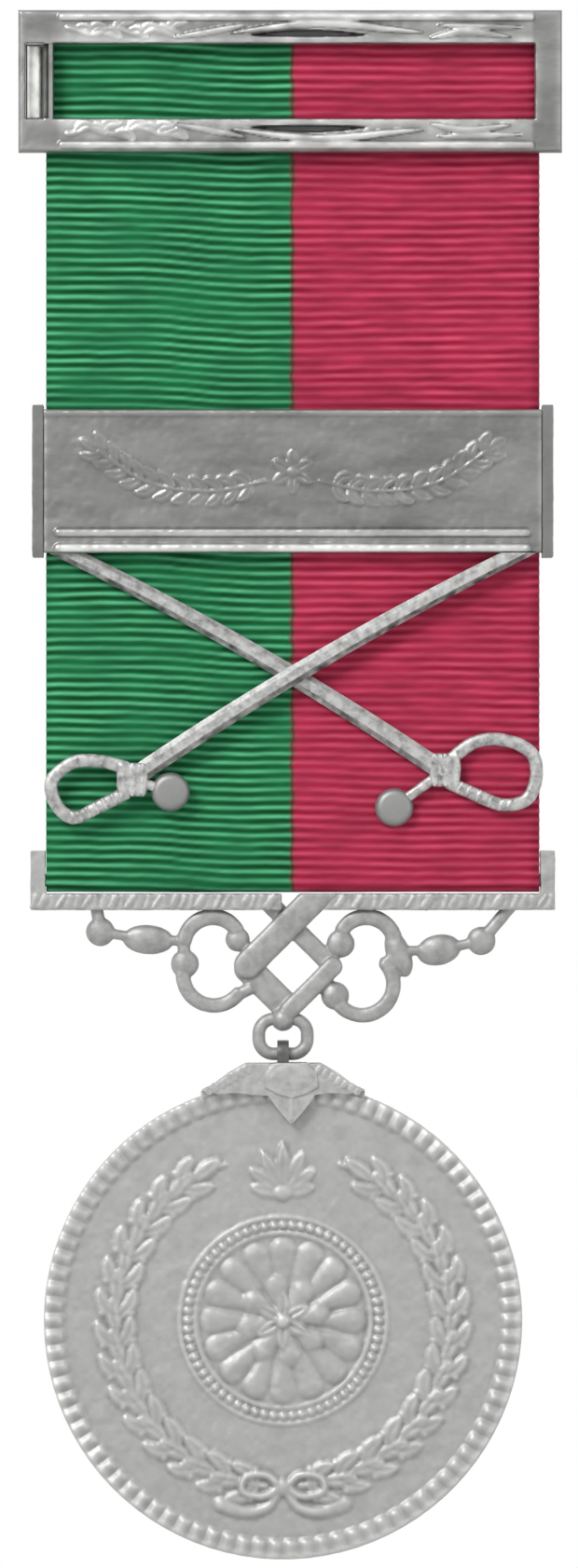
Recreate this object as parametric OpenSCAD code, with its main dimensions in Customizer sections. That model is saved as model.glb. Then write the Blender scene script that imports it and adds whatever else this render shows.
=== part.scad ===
// Military service medal: a struck silver disc on an openwork suspender,
// hung by a two-colour ribbon from a pin-back brooch, with a sliding clasp
// bar and crossed sabres on the ribbon.
// X is across the ribbon, Z is up, and the front of the medal faces -Y.
// The origin is the middle of the brooch pin's shank.

/* [Ribbon] */
// Width of the ribbon
ribbon_w = 38.2; // [30:0.1:48]
// Thickness of the ribbon
ribbon_t = 0.45; // [0.3:0.05:0.6]
// Sideways place of the ribbon's centre line
ribbon_x = 0.2; // [0:0.1:0.4]
// Radius of the two rods that the ribbon is looped round
rod_r = 0.5; // [0.4:0.05:0.7]
// Gap between a rod and the ribbon
rod_fit = 0.05; // [0.03:0.01:0.1]
// Distance between the two rods
rod_spacing = 66.1; // [60:0.1:90]
// Gap between the ribbon and the metal that slides or lies on it
slide_gap = 0.1; // [0.05:0.01:0.2]
// Gap at each edge of the ribbon
edge_gap = 0.2; // [0.1:0.05:0.4]

/* [Brooch] */
// Height of the brooch frame's window
window_h = 5.8; // [4.8:0.1:8]
// Height of the top rail and of the bottom rail
rail_h = 2.6; // [2.4:0.1:4]
// Thickness of the brooch frame
brooch_t = 1.6; // [1.2:0.1:2.4]
// How far the left rail overlaps the ribbon's edge
left_tuck = 0.6; // [0.3:0.1:1.2]
// How far the right rail overlaps the ribbon's edge
right_tuck = 0.4; // [0.3:0.1:1.2]
// Width of the strip outside the hinge slot
hinge_strip = 0.55; // [0.4:0.05:1]
// Width of the strip outside the catch
catch_strip = 0.5; // [0.4:0.05:1]
// Chamfer round the front of the frame
frame_chamfer = 0.25; // [0.1:0.05:0.4]
// Radius of the bead along each rail
rail_bead_r = 0.35; // [0.2:0.05:0.5]
// Distance from a rail's outer edge to the middle of its bead
rail_bead_in = 0.75; // [0.6:0.05:1]
// Length of the lens-shaped ornament on each rail
rail_lens_l = 20; // [12:1:28]
// Width of the lens-shaped ornament on each rail
rail_lens_w = 1; // [0.6:0.1:1.2]
// Height of the raised ornament on the brooch and the clasp
relief = 0.25; // [0.15:0.05:0.4]
// Thickness of a rod lug along the rod
lug_w = 1; // [0.7:0.1:1.5]
// Outer radius of a rod lug
lug_r = 0.75; // [0.7:0.05:0.9]

/* [Pin] */
// Radius of the brooch pin's shank
pin_r = 0.45; // [0.35:0.05:0.6]
// Distance from the shank's straight length to the catch
shank_gap = 0.65; // [0.4:0.05:1]
// Distance from the ribbon's back to the middle of the pin
pin_standoff = 1.3; // [1.2:0.05:2]
// Radius of the bend between the shank and its crank
pin_bend_r = 0.9; // [0.7:0.05:1.2]
// Radius of the pin's point
point_r = 0.15; // [0.1:0.05:0.25]
// Radius of the hinge wire
hinge_wire_r = 0.3; // [0.2:0.05:0.35]
// Running gap between the hinge wire and the pin's barrel
hinge_fit = 0.04; // [0.02:0.01:0.08]
// Outer radius of the pin's barrel
barrel_r = 0.62; // [0.55:0.01:0.66]
// Outer radius of the hinge ears
ear_r = 0.7; // [0.68:0.01:0.8]
// Thickness of a hinge ear along the hinge wire
ear_h = 0.5; // [0.4:0.05:0.6]
// Gap between the barrel and each ear
ear_gap = 0.1; // [0.05:0.01:0.15]
// Inner radius of the catch
catch_r = 0.5; // [0.48:0.01:0.6]
// Thickness of the catch's curled strip
catch_t = 0.45; // [0.35:0.05:0.6]
// Width of the catch along the pin
catch_w = 1; // [0.7:0.1:1.3]
// Half of the angle of the catch's mouth
catch_mouth = 53; // [50:1:60]

/* [Clasp] */
// Height of the clasp plate
clasp_h = 11.1; // [9:0.1:14]
// Thickness of the clasp plate
clasp_t = 1; // [0.8:0.1:1.2]
// Distance from the brooch's centre down to the clasp's centre
clasp_drop = 30.9; // [25:0.1:36]
// Width of the raised border of the clasp plate
clasp_border = 0.6; // [0.4:0.1:1]
// Radius of the bead above the clasp plate's lower border
clasp_bead_r = 0.35; // [0.2:0.05:0.5]
// Thickness of the sleeve's ends
sleeve_end_t = 0.85; // [0.6:0.05:1.2]
// How far the sleeve's ends stand past the plate, above and below
sleeve_step = 0.35; // [0.2:0.05:0.5]
// Thickness of the sleeve behind the ribbon
sleeve_t = 0.5; // [0.4:0.05:0.7]
// Height of the sleeve's strap behind the ribbon
strap_h = 6; // [4:0.5:9]

/* [Sabres] */
// Thickness of each sabre
sabre_t = 0.6; // [0.4:0.05:0.7]
// Sideways distance from the ribbon's centre line to a sabre's guard
guard_x = 11.8; // [9:0.1:13]
// Distance from the clasp plate's lower edge down to the guards
guard_drop = 17.05; // [14:0.05:20]
// Radius of the curve of the blades
blade_curve_r = 190; // [150:1:260]
// Distance from the clasp plate's end to the middle of a blade's tip
tip_in = 0.55; // [0.3:0.05:1]
// Width of a blade at its guard
blade_w = 1.5; // [1.2:0.1:2]
// Width of a blade at its tip
tip_w = 0.8; // [0.7:0.1:1.2]
// Outer radius of the left sabre's knuckle bow
left_bow_r = 2.75; // [2.5:0.05:3]
// Outer radius of the right sabre's knuckle bow
right_bow_r = 3; // [2.7:0.05:3.2]
// Length of the left sabre's grip, from the blade's root to the middle of the bow
left_grip_l = 4.65; // [4.4:0.05:4.9]
// Length of the right sabre's grip, from the blade's root to the middle of the bow
right_grip_l = 4.55; // [4.3:0.05:4.8]
// Width of the knuckle bows' bands
bow_w = 1.05; // [0.8:0.05:1.3]
// Width of the guard block, along the blade
guard_w = 2.4; // [2:0.1:2.6]
// Height of the guard block, across the blade
guard_h = 2.7; // [2.4:0.1:3]
// Radius of the button at the end of a quillon
button_r = 1.5; // [1.2:0.1:1.7]
// Height of the button
button_h = 1; // [0.7:0.1:1.1]
// Width of a quillon's neck
quillon_w = 0.8; // [0.6:0.1:1]

/* [Suspender] */
// Thickness of the suspender's bar and posts, front to back
suspender_t = 1.8; // [1.6:0.1:2.2]
// Width of each post
post_w = 1; // [0.8:0.1:1.4]
// Height of the posts above the rod
post_rise = 2.3; // [1.8:0.1:3]
// Height of the bar
bar_h = 1.2; // [1:0.1:1.8]
// Gap between the ribbon's fold and the bar
fold_gap = 0.1; // [0.05:0.01:0.2]
// Number of reeds along the front of the bar
reeds = 34; // [20:1:44]
// Depth of the reeds
reed_depth = 0.2; // [0.1:0.05:0.3]
// Width of the knot's two broad straps, on its left
knot_broad = 2.1; // [1.8:0.1:2.3]
// Width of the knot's two narrow straps, on its right
knot_narrow = 1.45; // [1.2:0.05:1.7]
// Half of the diagonal of the knot's open square
knot_hole = 2.05; // [1.6:0.05:2.3]
// Distance from the bar's underside to the knot's centre
knot_drop = 4.4; // [4:0.05:5]
// Thickness of the straps that pass over at the knot's crossings
over_t = 1.8; // [1.6:0.1:2]
// Thickness of the straps that pass under
under_t = 1.5; // [1.3:0.1:1.6]
// Width of the scrolls' straps
scroll_w = 1.15; // [0.9:0.05:1.4]
// Thickness of the scrolls' straps
scroll_t = 1.3; // [1.1:0.1:1.4]
// Radius of the two upper scrolls, at the middle of the strap
upper_scroll_r = 2.25; // [2:0.05:2.4]
// Radius of the two lower scrolls, at the middle of the strap
lower_scroll_r = 2.4; // [2.2:0.05:2.5]
// Radius of the knobs at the scrolls' ends
knob_r = 1.1; // [0.95:0.05:1.2]
// Radius of the round beads
bead_r = 1.12; // [1:0.02:1.2]
// Half length of the oval beads
oval_l = 1.9; // [1.7:0.05:2]
// Half height of the oval beads
oval_h = 1.15; // [1:0.05:1.3]
// Width of the necks between the beads
neck_w = 0.8; // [0.6:0.05:1]

/* [Link] */
// Sideways place of the link and the disc
link_x = -0.55; // [-0.8:0.05:0.2]
// Radius of the link's wire
link_r = 0.5; // [0.4:0.05:0.6]
// Distance between the link's two straight bars
link_h = 2.7; // [2.5:0.1:3.2]
// Width of the link between the middles of its sides
link_w = 3.75; // [3.5:0.05:4.5]
// Radius of the link's corners
link_bend_r = 1.15; // [0.8:0.05:1.2]
// Running gap round the link's bars
link_fit = 0.08; // [0.04:0.01:0.09]
// Wall of the suspender's barrel
link_barrel_wall = 0.4; // [0.3:0.05:0.5]
// Length of the suspender's barrel
link_barrel_l = 1.3; // [1:0.1:1.4]

/* [Medal] */
// Diameter of the disc
disc_d = 37; // [30:0.5:45]
// Thickness of the disc at its rim
disc_t = 2.8; // [2.4:0.1:3.4]
// Depth of the field below the rim
field_depth = 0.35; // [0.25:0.05:0.45]
// Width of the plain lip at the edge
lip_w = 0.4; // [0.3:0.05:0.6]
// Length of the border's dentils
dentil_l = 1.3; // [0.8:0.1:1.8]
// Number of dentils in the border
dentils = 90; // [60:1:110]
// Half width of the claw
claw_w = 6.4; // [5:0.1:7]
// Height of the claw above the disc's rim
claw_h = 1.5; // [1.3:0.1:2]
// Thickness of the claw's leaves on the disc's faces
leaf_t = 0.5; // [0.4:0.05:0.7]
// Gap between the claw and the disc's edge
claw_fit = 0.03; // [0.02:0.01:0.05]
// Length of the claw's middle leaf below the disc's edge
tongue_l = 3.3; // [2.8:0.1:4]
// Half width of the claw's middle leaf
tongue_w = 1.9; // [1.5:0.1:2.3]
// Radius of the rivet through the claw and the disc
rivet_r = 0.5; // [0.4:0.05:0.6]
// Distance from the disc's edge to the rivet
rivet_drop = 1.5; // [1.3:0.1:1.8]
// Wall of the medal's eye
eye_wall = 0.5; // [0.4:0.05:0.6]
// Width of the medal's eye along the link
eye_w = 0.9; // [0.7:0.1:1.2]
// Depth of the slot in the claw that holds the eye
eye_sink = 0.7; // [0.5:0.1:1]
// Gap between the link and the claw's top
link_clear = 0.12; // [0.1:0.01:0.2]

/* [Hidden] */
$fn = 64;
silver = [0.68, 0.68, 0.67];
bright_silver = [0.78, 0.78, 0.77];
green = [0.06, 0.47, 0.24];
crimson = [0.75, 0.16, 0.31];
eps = 0.01;

// Ribbon: a flat loop round the two rods, with a front layer and a back layer
fold_r = rod_r + rod_fit + ribbon_t;
loop_y = -(pin_standoff + fold_r);
ribbon_left = ribbon_x - ribbon_w / 2;
ribbon_right = ribbon_x + ribbon_w / 2;
brooch_h = window_h + 2 * rail_h;
fold_cover = 0.2;
top_rod_z = brooch_h / 2 - fold_r - fold_cover;
rod_z = top_rod_z - rod_spacing;
metal_y = loop_y - fold_r - slide_gap;

// Brooch: the frame's sides follow from the ribbon, the hinge and the catch
ear_tuck = 0.05;
barrel_gap = 0.08;
hinge_x = ribbon_left - edge_gap + ear_tuck - ear_r;
hinge_y = metal_y + barrel_r + barrel_gap;
frame_left = hinge_x - ear_r - hinge_strip;
catch_x = ribbon_right + edge_gap;
frame_right = catch_x + catch_w + catch_strip;
window_left = ribbon_left + left_tuck;
window_right = ribbon_right - right_tuck;
barrel_h = window_h - 2 * ear_gap;
ear_z = window_h / 2 + ear_gap / 2;
point_over = 0.4;
rail_lens_x = 3.5;
rail_lens_in = 0.15;

// Clasp
clasp_z = -clasp_drop;
clasp_half = ribbon_w / 2 + edge_gap;
clasp_low = clasp_z - clasp_h / 2;
strap_y = loop_y + fold_r + slide_gap;

// Sabres: each blade is an arc from its guard to the clasp plate's lower edge, where it is cut off
guard_z = clasp_low - guard_drop;
blade_run = guard_x + clasp_half - tip_in;
blade_chord = norm([blade_run, guard_drop]);
blade_bend = asin(blade_chord / (2 * blade_curve_r));
blade_angle = atan2(guard_drop, blade_run) + blade_bend;
blade_cut = 1;
blade_l = blade_curve_r * blade_bend * PI / 90 + blade_cut;
blade_steps = 10;
ridge_t = 0.15;
ridge_share = 0.2;
bow_throat_r = 0.5;
quillon_flare = 0.2;

// Places on each hilt, measured from the blade's root with the bow at the left
left_bow_at = [-left_grip_l, -1.35];
left_guard_at = [-0.6, -0.5];
left_button_at = [2.35, -1.45];
right_bow_at = [-right_grip_l, 0];
right_guard_at = [0, 0.25];
right_button_at = [3.95, -2.65];

// Suspender: places are measured from the bar's underside and the ribbon's centre line
bar_top = rod_z - fold_r - fold_gap;
bar_low = bar_top - bar_h;
knot_z = bar_low - knot_drop;
reed_root = 0.1;
strap_chamfer = 0.3;
knot_tail = 1.1;
over_end = 0.3;
under_end = 0.4;
lower_slim = 0.1;
knob_in = 0.25;
small_knob = 0.15;
neck_foot = 1;
left_upper_scroll = [-6.2, -2.8];
left_lower_scroll = [-6.1, -5];
right_upper_scroll = [5.7, -2.8];
right_lower_scroll = [5.4, -5.75];
left_oval = [-11.2, -2.3];
right_oval = [11.3, -3.1];
left_bead = [-14.9, -1.7];
right_bead = [14.6, -2.4];
left_foot = [-15.2, eps];
right_foot = [16.9, eps];

// Link and disc
barrel_drop = 0.55;
link_top_z = knot_z - knot_hole - knot_narrow - barrel_drop;
link_low_z = link_top_z - link_h;
link_barrel_r = link_r + link_fit + link_barrel_wall;
eye_r = link_r + link_fit + eye_wall;
claw_top_z = link_low_z - link_r - link_clear;
eye_foot_z = claw_top_z - eye_sink;
disc_r = disc_d / 2;
disc_z = claw_top_z - claw_h - disc_r;
field_t = disc_t - 2 * field_depth;
rivet_z = disc_z + disc_r - rivet_drop;
tongue_rise = 1.275;
side_leaf_rise = 0.675;
side_leaf_back = 0.4;
side_leaf_slope = 16;
side_leaf_w = 2.25;
gap_root = 0.22;
gap_tip = 0.32;

// Extrudes a front-view outline, drawn in X and Z, forward from y_back
module facing(y_back, t) {
    translate([0, y_back, 0]) rotate([90, 0, 0]) linear_extrude(t) children();
}

// Extrudes a side-view outline, drawn in Y and Z, to the right from x_left
module across(x_left, w) {
    translate([x_left, 0, 0]) rotate([90, 0, 90]) linear_extrude(w) children();
}

module rod_x(x0, x1, y, z, r) {
    translate([x0, y, z]) rotate([0, 90, 0]) cylinder(h = x1 - x0, r = r);
}

module rod_y(y0, y1, x, z, r) {
    translate([x, y0, z]) rotate([-90, 0, 0]) cylinder(h = y1 - y0, r = r);
}

module box(x0, x1, y0, y1, z0, z1) {
    translate([x0, y0, z0]) cube([x1 - x0, y1 - y0, z1 - z0]);
}

function polar(r, a) = [r * cos(a), r * sin(a)];

// Outline of a pointed lens of a length and a width, lying along X
module lens(l, w) {
    r = (l * l / 4 + w * w / 4) / w;
    intersection() {
        translate([0, w / 2 - r]) circle(r);
        translate([0, r - w / 2]) circle(r);
    }
}

// Profile of a rail of a width, with its two front edges chamfered
module chamfered(half, back, t) {
    front = back - t;
    c = frame_chamfer;
    polygon([[-half, back], [half, back], [half, front + c], [half - c, front], [c - half, front],
             [-half, front + c]]);
}

// Brooch: the frame's outside is the crossing of its plan and its side profile
module frame_block() {
    half_w = (frame_right - frame_left) / 2;
    translate([(frame_left + frame_right) / 2, 0, 0]) intersection() {
        translate([0, 0, -brooch_h / 2]) linear_extrude(brooch_h) chamfered(half_w, metal_y, brooch_t);
        across(-half_w, 2 * half_w) rotate(90) mirror([0, 1]) chamfered(brooch_h / 2, metal_y, brooch_t);
    }
}

module rail_ornament(up) {
    outer = up * (brooch_h / 2 - rail_bead_in);
    inner = up * (window_h / 2 + rail_lens_w / 2 + rail_lens_in);
    rod_x(frame_left + 2 * frame_chamfer, frame_right - 2 * frame_chamfer,
          metal_y - brooch_t, outer, rail_bead_r);
    translate([(frame_left + frame_right) / 2 + rail_lens_x, 0, inner])
        facing(metal_y - brooch_t + eps, relief) lens(rail_lens_l, rail_lens_w);
}

module brooch_frame() color(silver) {
    half = window_h / 2;
    front = metal_y - brooch_t - 1;
    difference() {
        frame_block();
        box(window_left, window_right, front, metal_y + 1, -half, half);
        box(hinge_x - ear_r, hinge_x + ear_r, front, metal_y + 1, -half, half);
    }
    for (up = [-1, 1]) rail_ornament(up);
}

module rod_lug(x0) {
    difference() {
        across(x0, lug_w) {
            translate([loop_y, top_rod_z]) circle(lug_r);
            translate([metal_y, top_rod_z - lug_r]) square([loop_y - metal_y, 2 * lug_r]);
        }
        rod_x(x0 - 1, x0 + lug_w + 1, loop_y, top_rod_z, rod_r);
    }
}

module rod_lug_left() color(silver) rod_lug(ribbon_left - edge_gap - lug_w);

module rod_lug_right() color(silver) rod_lug(ribbon_right + edge_gap);

module top_rod() color(bright_silver)
    rod_x(ribbon_left - edge_gap - lug_w, ribbon_right + edge_gap + lug_w, loop_y, top_rod_z, rod_r);

// Pin
module hinge_ear(z0) {
    translate([hinge_x, hinge_y, z0]) difference() {
        linear_extrude(ear_h) {
            circle(ear_r);
            translate([-ear_r, metal_y - hinge_y]) square([2 * ear_r, hinge_y - metal_y]);
        }
        translate([0, 0, -1]) cylinder(h = ear_h + 2, r = hinge_wire_r);
    }
}

module hinge_ear_upper() color(silver) hinge_ear(ear_z);

module hinge_ear_lower() color(silver) hinge_ear(-ear_z - ear_h);

module hinge_wire() color(bright_silver)
    translate([hinge_x, hinge_y, -ear_z - ear_h]) cylinder(h = 2 * (ear_z + ear_h), r = hinge_wire_r);

module brooch_pin() color(bright_silver) {
    shank_left = hinge_x + pin_bend_r;
    shank_right = catch_x - shank_gap;
    point_l = catch_x + catch_w + point_over - shank_right;
    difference() {
        union() {
            translate([hinge_x, hinge_y, -barrel_h / 2]) cylinder(h = barrel_h, r = barrel_r);
            rod_y(hinge_y, -pin_bend_r, hinge_x, 0, pin_r);
        }
        translate([hinge_x, hinge_y, -barrel_h / 2 - 1])
            cylinder(h = barrel_h + 2, r = hinge_wire_r + hinge_fit);
    }
    translate([shank_left, -pin_bend_r, 0]) rotate([0, 0, 90])
        rotate_extrude(angle = 90) translate([pin_bend_r, 0]) circle(pin_r);
    rod_x(shank_left, shank_right, 0, 0, pin_r);
    translate([shank_right, 0, 0]) rotate([0, 90, 0]) cylinder(h = point_l, r1 = pin_r, r2 = point_r);
}

module pin_catch() color(silver) {
    outer = catch_r + catch_t;
    translate([catch_x, 0, 0]) rotate([90, 0, 90]) rotate([0, 0, catch_mouth])
        rotate_extrude(angle = 360 - 2 * catch_mouth)
            translate([catch_r, 0]) square([catch_t, catch_w]);
    difference() {
        box(catch_x, catch_x + catch_w, metal_y, -catch_r, -catch_r, catch_r);
        rod_x(catch_x - 1, catch_x + catch_w + 1, 0, 0, (catch_r + outer) / 2);
    }
}

// Ribbon
module loop_outline(r) {
    for (z = [rod_z, top_rod_z]) translate([loop_y, z]) circle(r);
    translate([loop_y - r, rod_z]) square([2 * r, top_rod_z - rod_z]);
}

module ribbon_half(x0) {
    across(x0, ribbon_w / 2) difference() {
        loop_outline(fold_r);
        loop_outline(fold_r - ribbon_t);
    }
}

module ribbon() {
    color(green) ribbon_half(ribbon_left);
    color(crimson) ribbon_half(ribbon_x);
}

// Clasp
module clasp_outline(inset) {
    translate([ribbon_x - clasp_half + inset, clasp_low + inset])
        square([2 * (clasp_half - inset), clasp_h - 2 * inset]);
}

module clasp_plate() color(silver) {
    front = metal_y - clasp_t;
    facing(metal_y, clasp_t) clasp_outline(0);
    facing(front + eps, relief) difference() {
        clasp_outline(0);
        clasp_outline(clasp_border);
    }
    rod_x(ribbon_x - clasp_half + 2 * clasp_border, ribbon_x + clasp_half - 2 * clasp_border,
          front, clasp_low + 2 * clasp_border + clasp_bead_r, clasp_bead_r);
}

module clasp_sleeve() color(silver) {
    outer = clasp_half + sleeve_end_t;
    half_h = clasp_h / 2 + sleeve_step;
    back = strap_y + sleeve_t;
    box(ribbon_x - outer, ribbon_x + outer, strap_y, back, clasp_z - strap_h / 2, clasp_z + strap_h / 2);
    for (x0 = [ribbon_x - outer, ribbon_x + clasp_half])
        box(x0, x0 + sleeve_end_t, metal_y - clasp_t, back, clasp_z - half_h, clasp_z + half_h);
}

// Sabres: drawn with the guard at the left of the ribbon, and mirrored for the other
function blade_heading(s) = blade_angle - s / blade_curve_r * 180 / PI;

function blade_middle(s) = blade_curve_r * [
    sin(blade_angle) - sin(blade_heading(s)),
    cos(blade_heading(s)) - cos(blade_angle)
];

function blade_point(s, side) =
    let (half = (blade_w + (tip_w - blade_w) * s / blade_l) / 2)
    blade_middle(s) + side * half * [-sin(blade_heading(s)), cos(blade_heading(s))];

module blade_outline(share) {
    low = [for (i = [0:blade_steps]) blade_point(blade_l * i / blade_steps, -share)];
    high = [for (i = [blade_steps:-1:0]) blade_point(blade_l * i / blade_steps, 1)];
    polygon(concat(low, high));
}

// Knuckle bow and grip, as one loop that runs round from the guard block and back to it
module bow_outline(r, at, guard_at) {
    difference() {
        hull() {
            translate(at) circle(r, $fn = 40);
            translate(guard_at) circle(bow_w, $fn = 16);
        }
        hull() {
            translate(at) circle(r - bow_w, $fn = 40);
            translate(guard_at - [guard_w / 2 + bow_throat_r, 0]) circle(bow_throat_r, $fn = 16);
        }
    }
}

module quillon_outline(guard_at, button_at) {
    hull() {
        translate(guard_at) circle(quillon_w / 2 + quillon_flare, $fn = 16);
        translate(button_at) circle(quillon_w / 2, $fn = 16);
    }
}

module button(at) {
    cap_r = (button_r * button_r + button_h * button_h) / (2 * button_h);
    intersection() {
        translate([at[0], cap_r - button_h, at[1]]) sphere(cap_r);
        box(at[0] - button_r - 1, at[0] + button_r + 1, -button_h - 1, 0,
            at[1] - button_r - 1, at[1] + button_r + 1);
    }
}

// The sabre ends where its tip meets the clasp plate's lower edge
module below_clasp() {
    reach = guard_x + clasp_half;
    translate([0, -guard_drop]) square([reach, 2 * guard_drop]);
}

module sabre(y_back, bow_r, bow_at, guard_at, button_at) {
    translate([-guard_x, y_back, guard_z]) {
        facing(0, sabre_t) intersection() {
            blade_outline(1);
            below_clasp();
        }
        facing(0, sabre_t + ridge_t) intersection() {
            blade_outline(ridge_share);
            below_clasp();
        }
        facing(0, sabre_t) bow_outline(bow_r, bow_at, guard_at);
        facing(0, sabre_t) quillon_outline(guard_at, button_at);
        facing(0, sabre_t + ridge_t) translate(guard_at)
            translate([-guard_w / 2, -guard_h / 2]) square([guard_w, guard_h]);
        button(button_at);
    }
}

module sabre_left() color(bright_silver) translate([ribbon_x, 0, 0])
    sabre(metal_y - sabre_t - ridge_t, left_bow_r, left_bow_at, left_guard_at, left_button_at);

module sabre_right() color(bright_silver) translate([ribbon_x, 0, 0]) mirror([1, 0, 0])
    sabre(metal_y, right_bow_r, right_bow_at, right_guard_at, right_button_at);

// Suspender
function reed_line(x0, x1) = [
    for (i = [0:4 * reeds])
        [x0 + (x1 - x0) * i / (4 * reeds), -reed_depth * abs(sin(i * 45))]
];

module suspender_frame() color(silver) {
    half = ribbon_w / 2 + edge_gap;
    front = loop_y - suspender_t / 2;
    back = loop_y + suspender_t / 2;
    difference() {
        union() {
            box(ribbon_x - half - post_w, ribbon_x + half + post_w, front, back, bar_low, bar_top);
            for (x0 = [ribbon_x - half - post_w, ribbon_x + half])
                box(x0, x0 + post_w, front, back, bar_low, rod_z + post_rise);
            translate([0, front + eps, bar_low]) linear_extrude(bar_h)
                polygon(concat(reed_line(ribbon_x - half, ribbon_x + half),
                               [[ribbon_x + half, reed_root], [ribbon_x - half, reed_root]]));
        }
        rod_x(ribbon_x - half - post_w - 1, ribbon_x + half + post_w + 1, loop_y, rod_z, rod_r);
    }
}

module ribbon_rod() color(bright_silver) {
    half = ribbon_w / 2 + edge_gap + post_w;
    rod_x(ribbon_x - half, ribbon_x + half, loop_y, rod_z, rod_r);
}

function strap_profile(w, t) =
    let (a = w / 2, b = t / 2, c = strap_chamfer)
    [[-a, c - b], [-a, b - c], [c - a, b], [a - c, b], [a, b - c], [a, c - b], [a - c, -b], [c - a, -b]];

module scroll(at, r, from, to, w, t) {
    translate([at[0], 0, at[1]]) rotate([90, 0, 0]) rotate([0, 0, from])
        rotate_extrude(angle = to - from) translate([r, 0]) polygon(strap_profile(w, t));
}

module strap(p, q, w, t) {
    d = q - p;
    translate([p[0], 0, p[1]]) rotate([0, -atan2(d[1], d[0]), 0])
        across(0, norm(d)) polygon(strap_profile(t, w));
}

module ball(at, r) {
    translate([at[0], 0, at[1]]) sphere(r);
}

module oval(at) {
    r = (oval_l * oval_l + oval_h * oval_h) / (2 * oval_h);
    translate([at[0], 0, at[1]]) rotate([0, 90, 0]) rotate_extrude() intersection() {
        translate([oval_h - r, 0]) circle(r);
        translate([0, -oval_l]) square([oval_h + 1, 2 * oval_l]);
    }
}

module neck(p, q) {
    strap(p, q, neck_w, neck_w);
}

// Scrolls and beads at the left of the knot
module left_scrollwork() {
    scroll(left_upper_scroll, upper_scroll_r, 20, 185, scroll_w, scroll_t);
    ball(left_upper_scroll + polar(upper_scroll_r - knob_in, 15), knob_r - small_knob);
    ball(left_lower_scroll + polar(lower_scroll_r, 160), knob_r);
    scroll(left_lower_scroll, lower_scroll_r, 165, 325, scroll_w - lower_slim, scroll_t - lower_slim);
    neck(left_lower_scroll + polar(lower_scroll_r, 320), [-knot_hole, -knot_drop - neck_foot]);
    neck(left_upper_scroll + polar(upper_scroll_r, 180), left_lower_scroll + polar(lower_scroll_r, 160));
    neck(left_upper_scroll + polar(upper_scroll_r, 170), left_oval);
    oval(left_oval);
    neck(left_oval, left_bead);
    ball(left_bead, bead_r);
    neck(left_bead, left_foot);
}

// Scrolls and beads at the right of the knot
module right_scrollwork() {
    scroll(right_upper_scroll, upper_scroll_r, -45, 160, scroll_w, scroll_t);
    ball(right_upper_scroll + polar(upper_scroll_r - knob_in, 175), knob_r);
    ball(right_lower_scroll + polar(lower_scroll_r - lower_slim, 203), knob_r);
    scroll(right_lower_scroll, lower_scroll_r, -150, 40, scroll_w - lower_slim, scroll_t - lower_slim);
    neck(right_upper_scroll + polar(upper_scroll_r, -10), right_oval);
    oval(right_oval);
    neck(right_oval, right_bead);
    ball(right_bead, bead_r);
    neck(right_bead, right_foot);
}

// Four interlaced straps round an open square that stands on its corner
module knot() {
    broad = knot_hole / sqrt(2) + knot_broad / 2;
    narrow = knot_hole / sqrt(2) + knot_narrow / 2;
    translate([0, 0, -knot_drop]) rotate([0, -45, 0]) {
        strap([-narrow - knot_tail, broad], [2 * knot_drop, broad], knot_broad, over_t);
        strap([-narrow - knot_tail, -narrow], [broad + over_end, -narrow], knot_narrow, over_t);
        strap([-broad, -narrow - under_end], [-broad, broad + knot_tail], knot_broad, under_t);
        strap([narrow, -narrow - under_end], [narrow, 2 * knot_drop], knot_narrow, under_t);
    }
}

// Room beside the barrel for the link's bends to swing in
module link_room(side) {
    near = link_x + side * link_barrel_l / 2;
    far = link_x + side * link_w;
    rod_x(min(near, far), max(near, far), loop_y, link_top_z, link_barrel_r + link_clear);
}

module suspender_openwork() color(silver) difference() {
    union() {
        translate([ribbon_x, loop_y, bar_low]) {
            knot();
            left_scrollwork();
            right_scrollwork();
        }
        rod_x(link_x - link_barrel_l / 2, link_x + link_barrel_l / 2, loop_y, link_top_z, link_barrel_r);
    }
    rod_x(link_x - link_w, link_x + link_w, loop_y, link_top_z, link_r + link_fit);
    for (side = [-1, 1]) link_room(side);
    translate([ribbon_x, loop_y, bar_low]) box(-ribbon_w, ribbon_w, -over_t, over_t, 0, 2 * knot_drop);
}

// Link
module link_corner(x, z, from) {
    translate([x, loop_y, z]) rotate([90, 0, 0]) rotate([0, 0, from])
        rotate_extrude(angle = 90) translate([link_bend_r, 0]) circle(link_r);
}

module suspension_link() color(bright_silver) {
    side = link_w / 2;
    run = side - link_bend_r;
    high = link_top_z - link_bend_r;
    low = link_low_z + link_bend_r;
    for (z = [link_low_z, link_top_z]) rod_x(link_x - run, link_x + run, loop_y, z, link_r);
    for (x = [link_x - side, link_x + side])
        translate([x, loop_y, low]) cylinder(h = high - low, r = link_r);
    link_corner(link_x + run, high, 0);
    link_corner(link_x - run, high, 90);
    link_corner(link_x - run, low, 180);
    link_corner(link_x + run, low, 270);
}

// Medal
function dentil_line() =
    let (pitch = 360 / dentils, root = disc_r - lip_w, tip = root - dentil_l)
    [for (i = [0:dentils - 1]) each [
        polar(root, (i - gap_root) * pitch), polar(root, (i + gap_root) * pitch),
        polar(tip, (i + gap_tip) * pitch), polar(tip, (i + 1 - gap_tip) * pitch)
    ]];

module border_outline() {
    difference() {
        circle(disc_r);
        polygon(dentil_line());
    }
}

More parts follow.
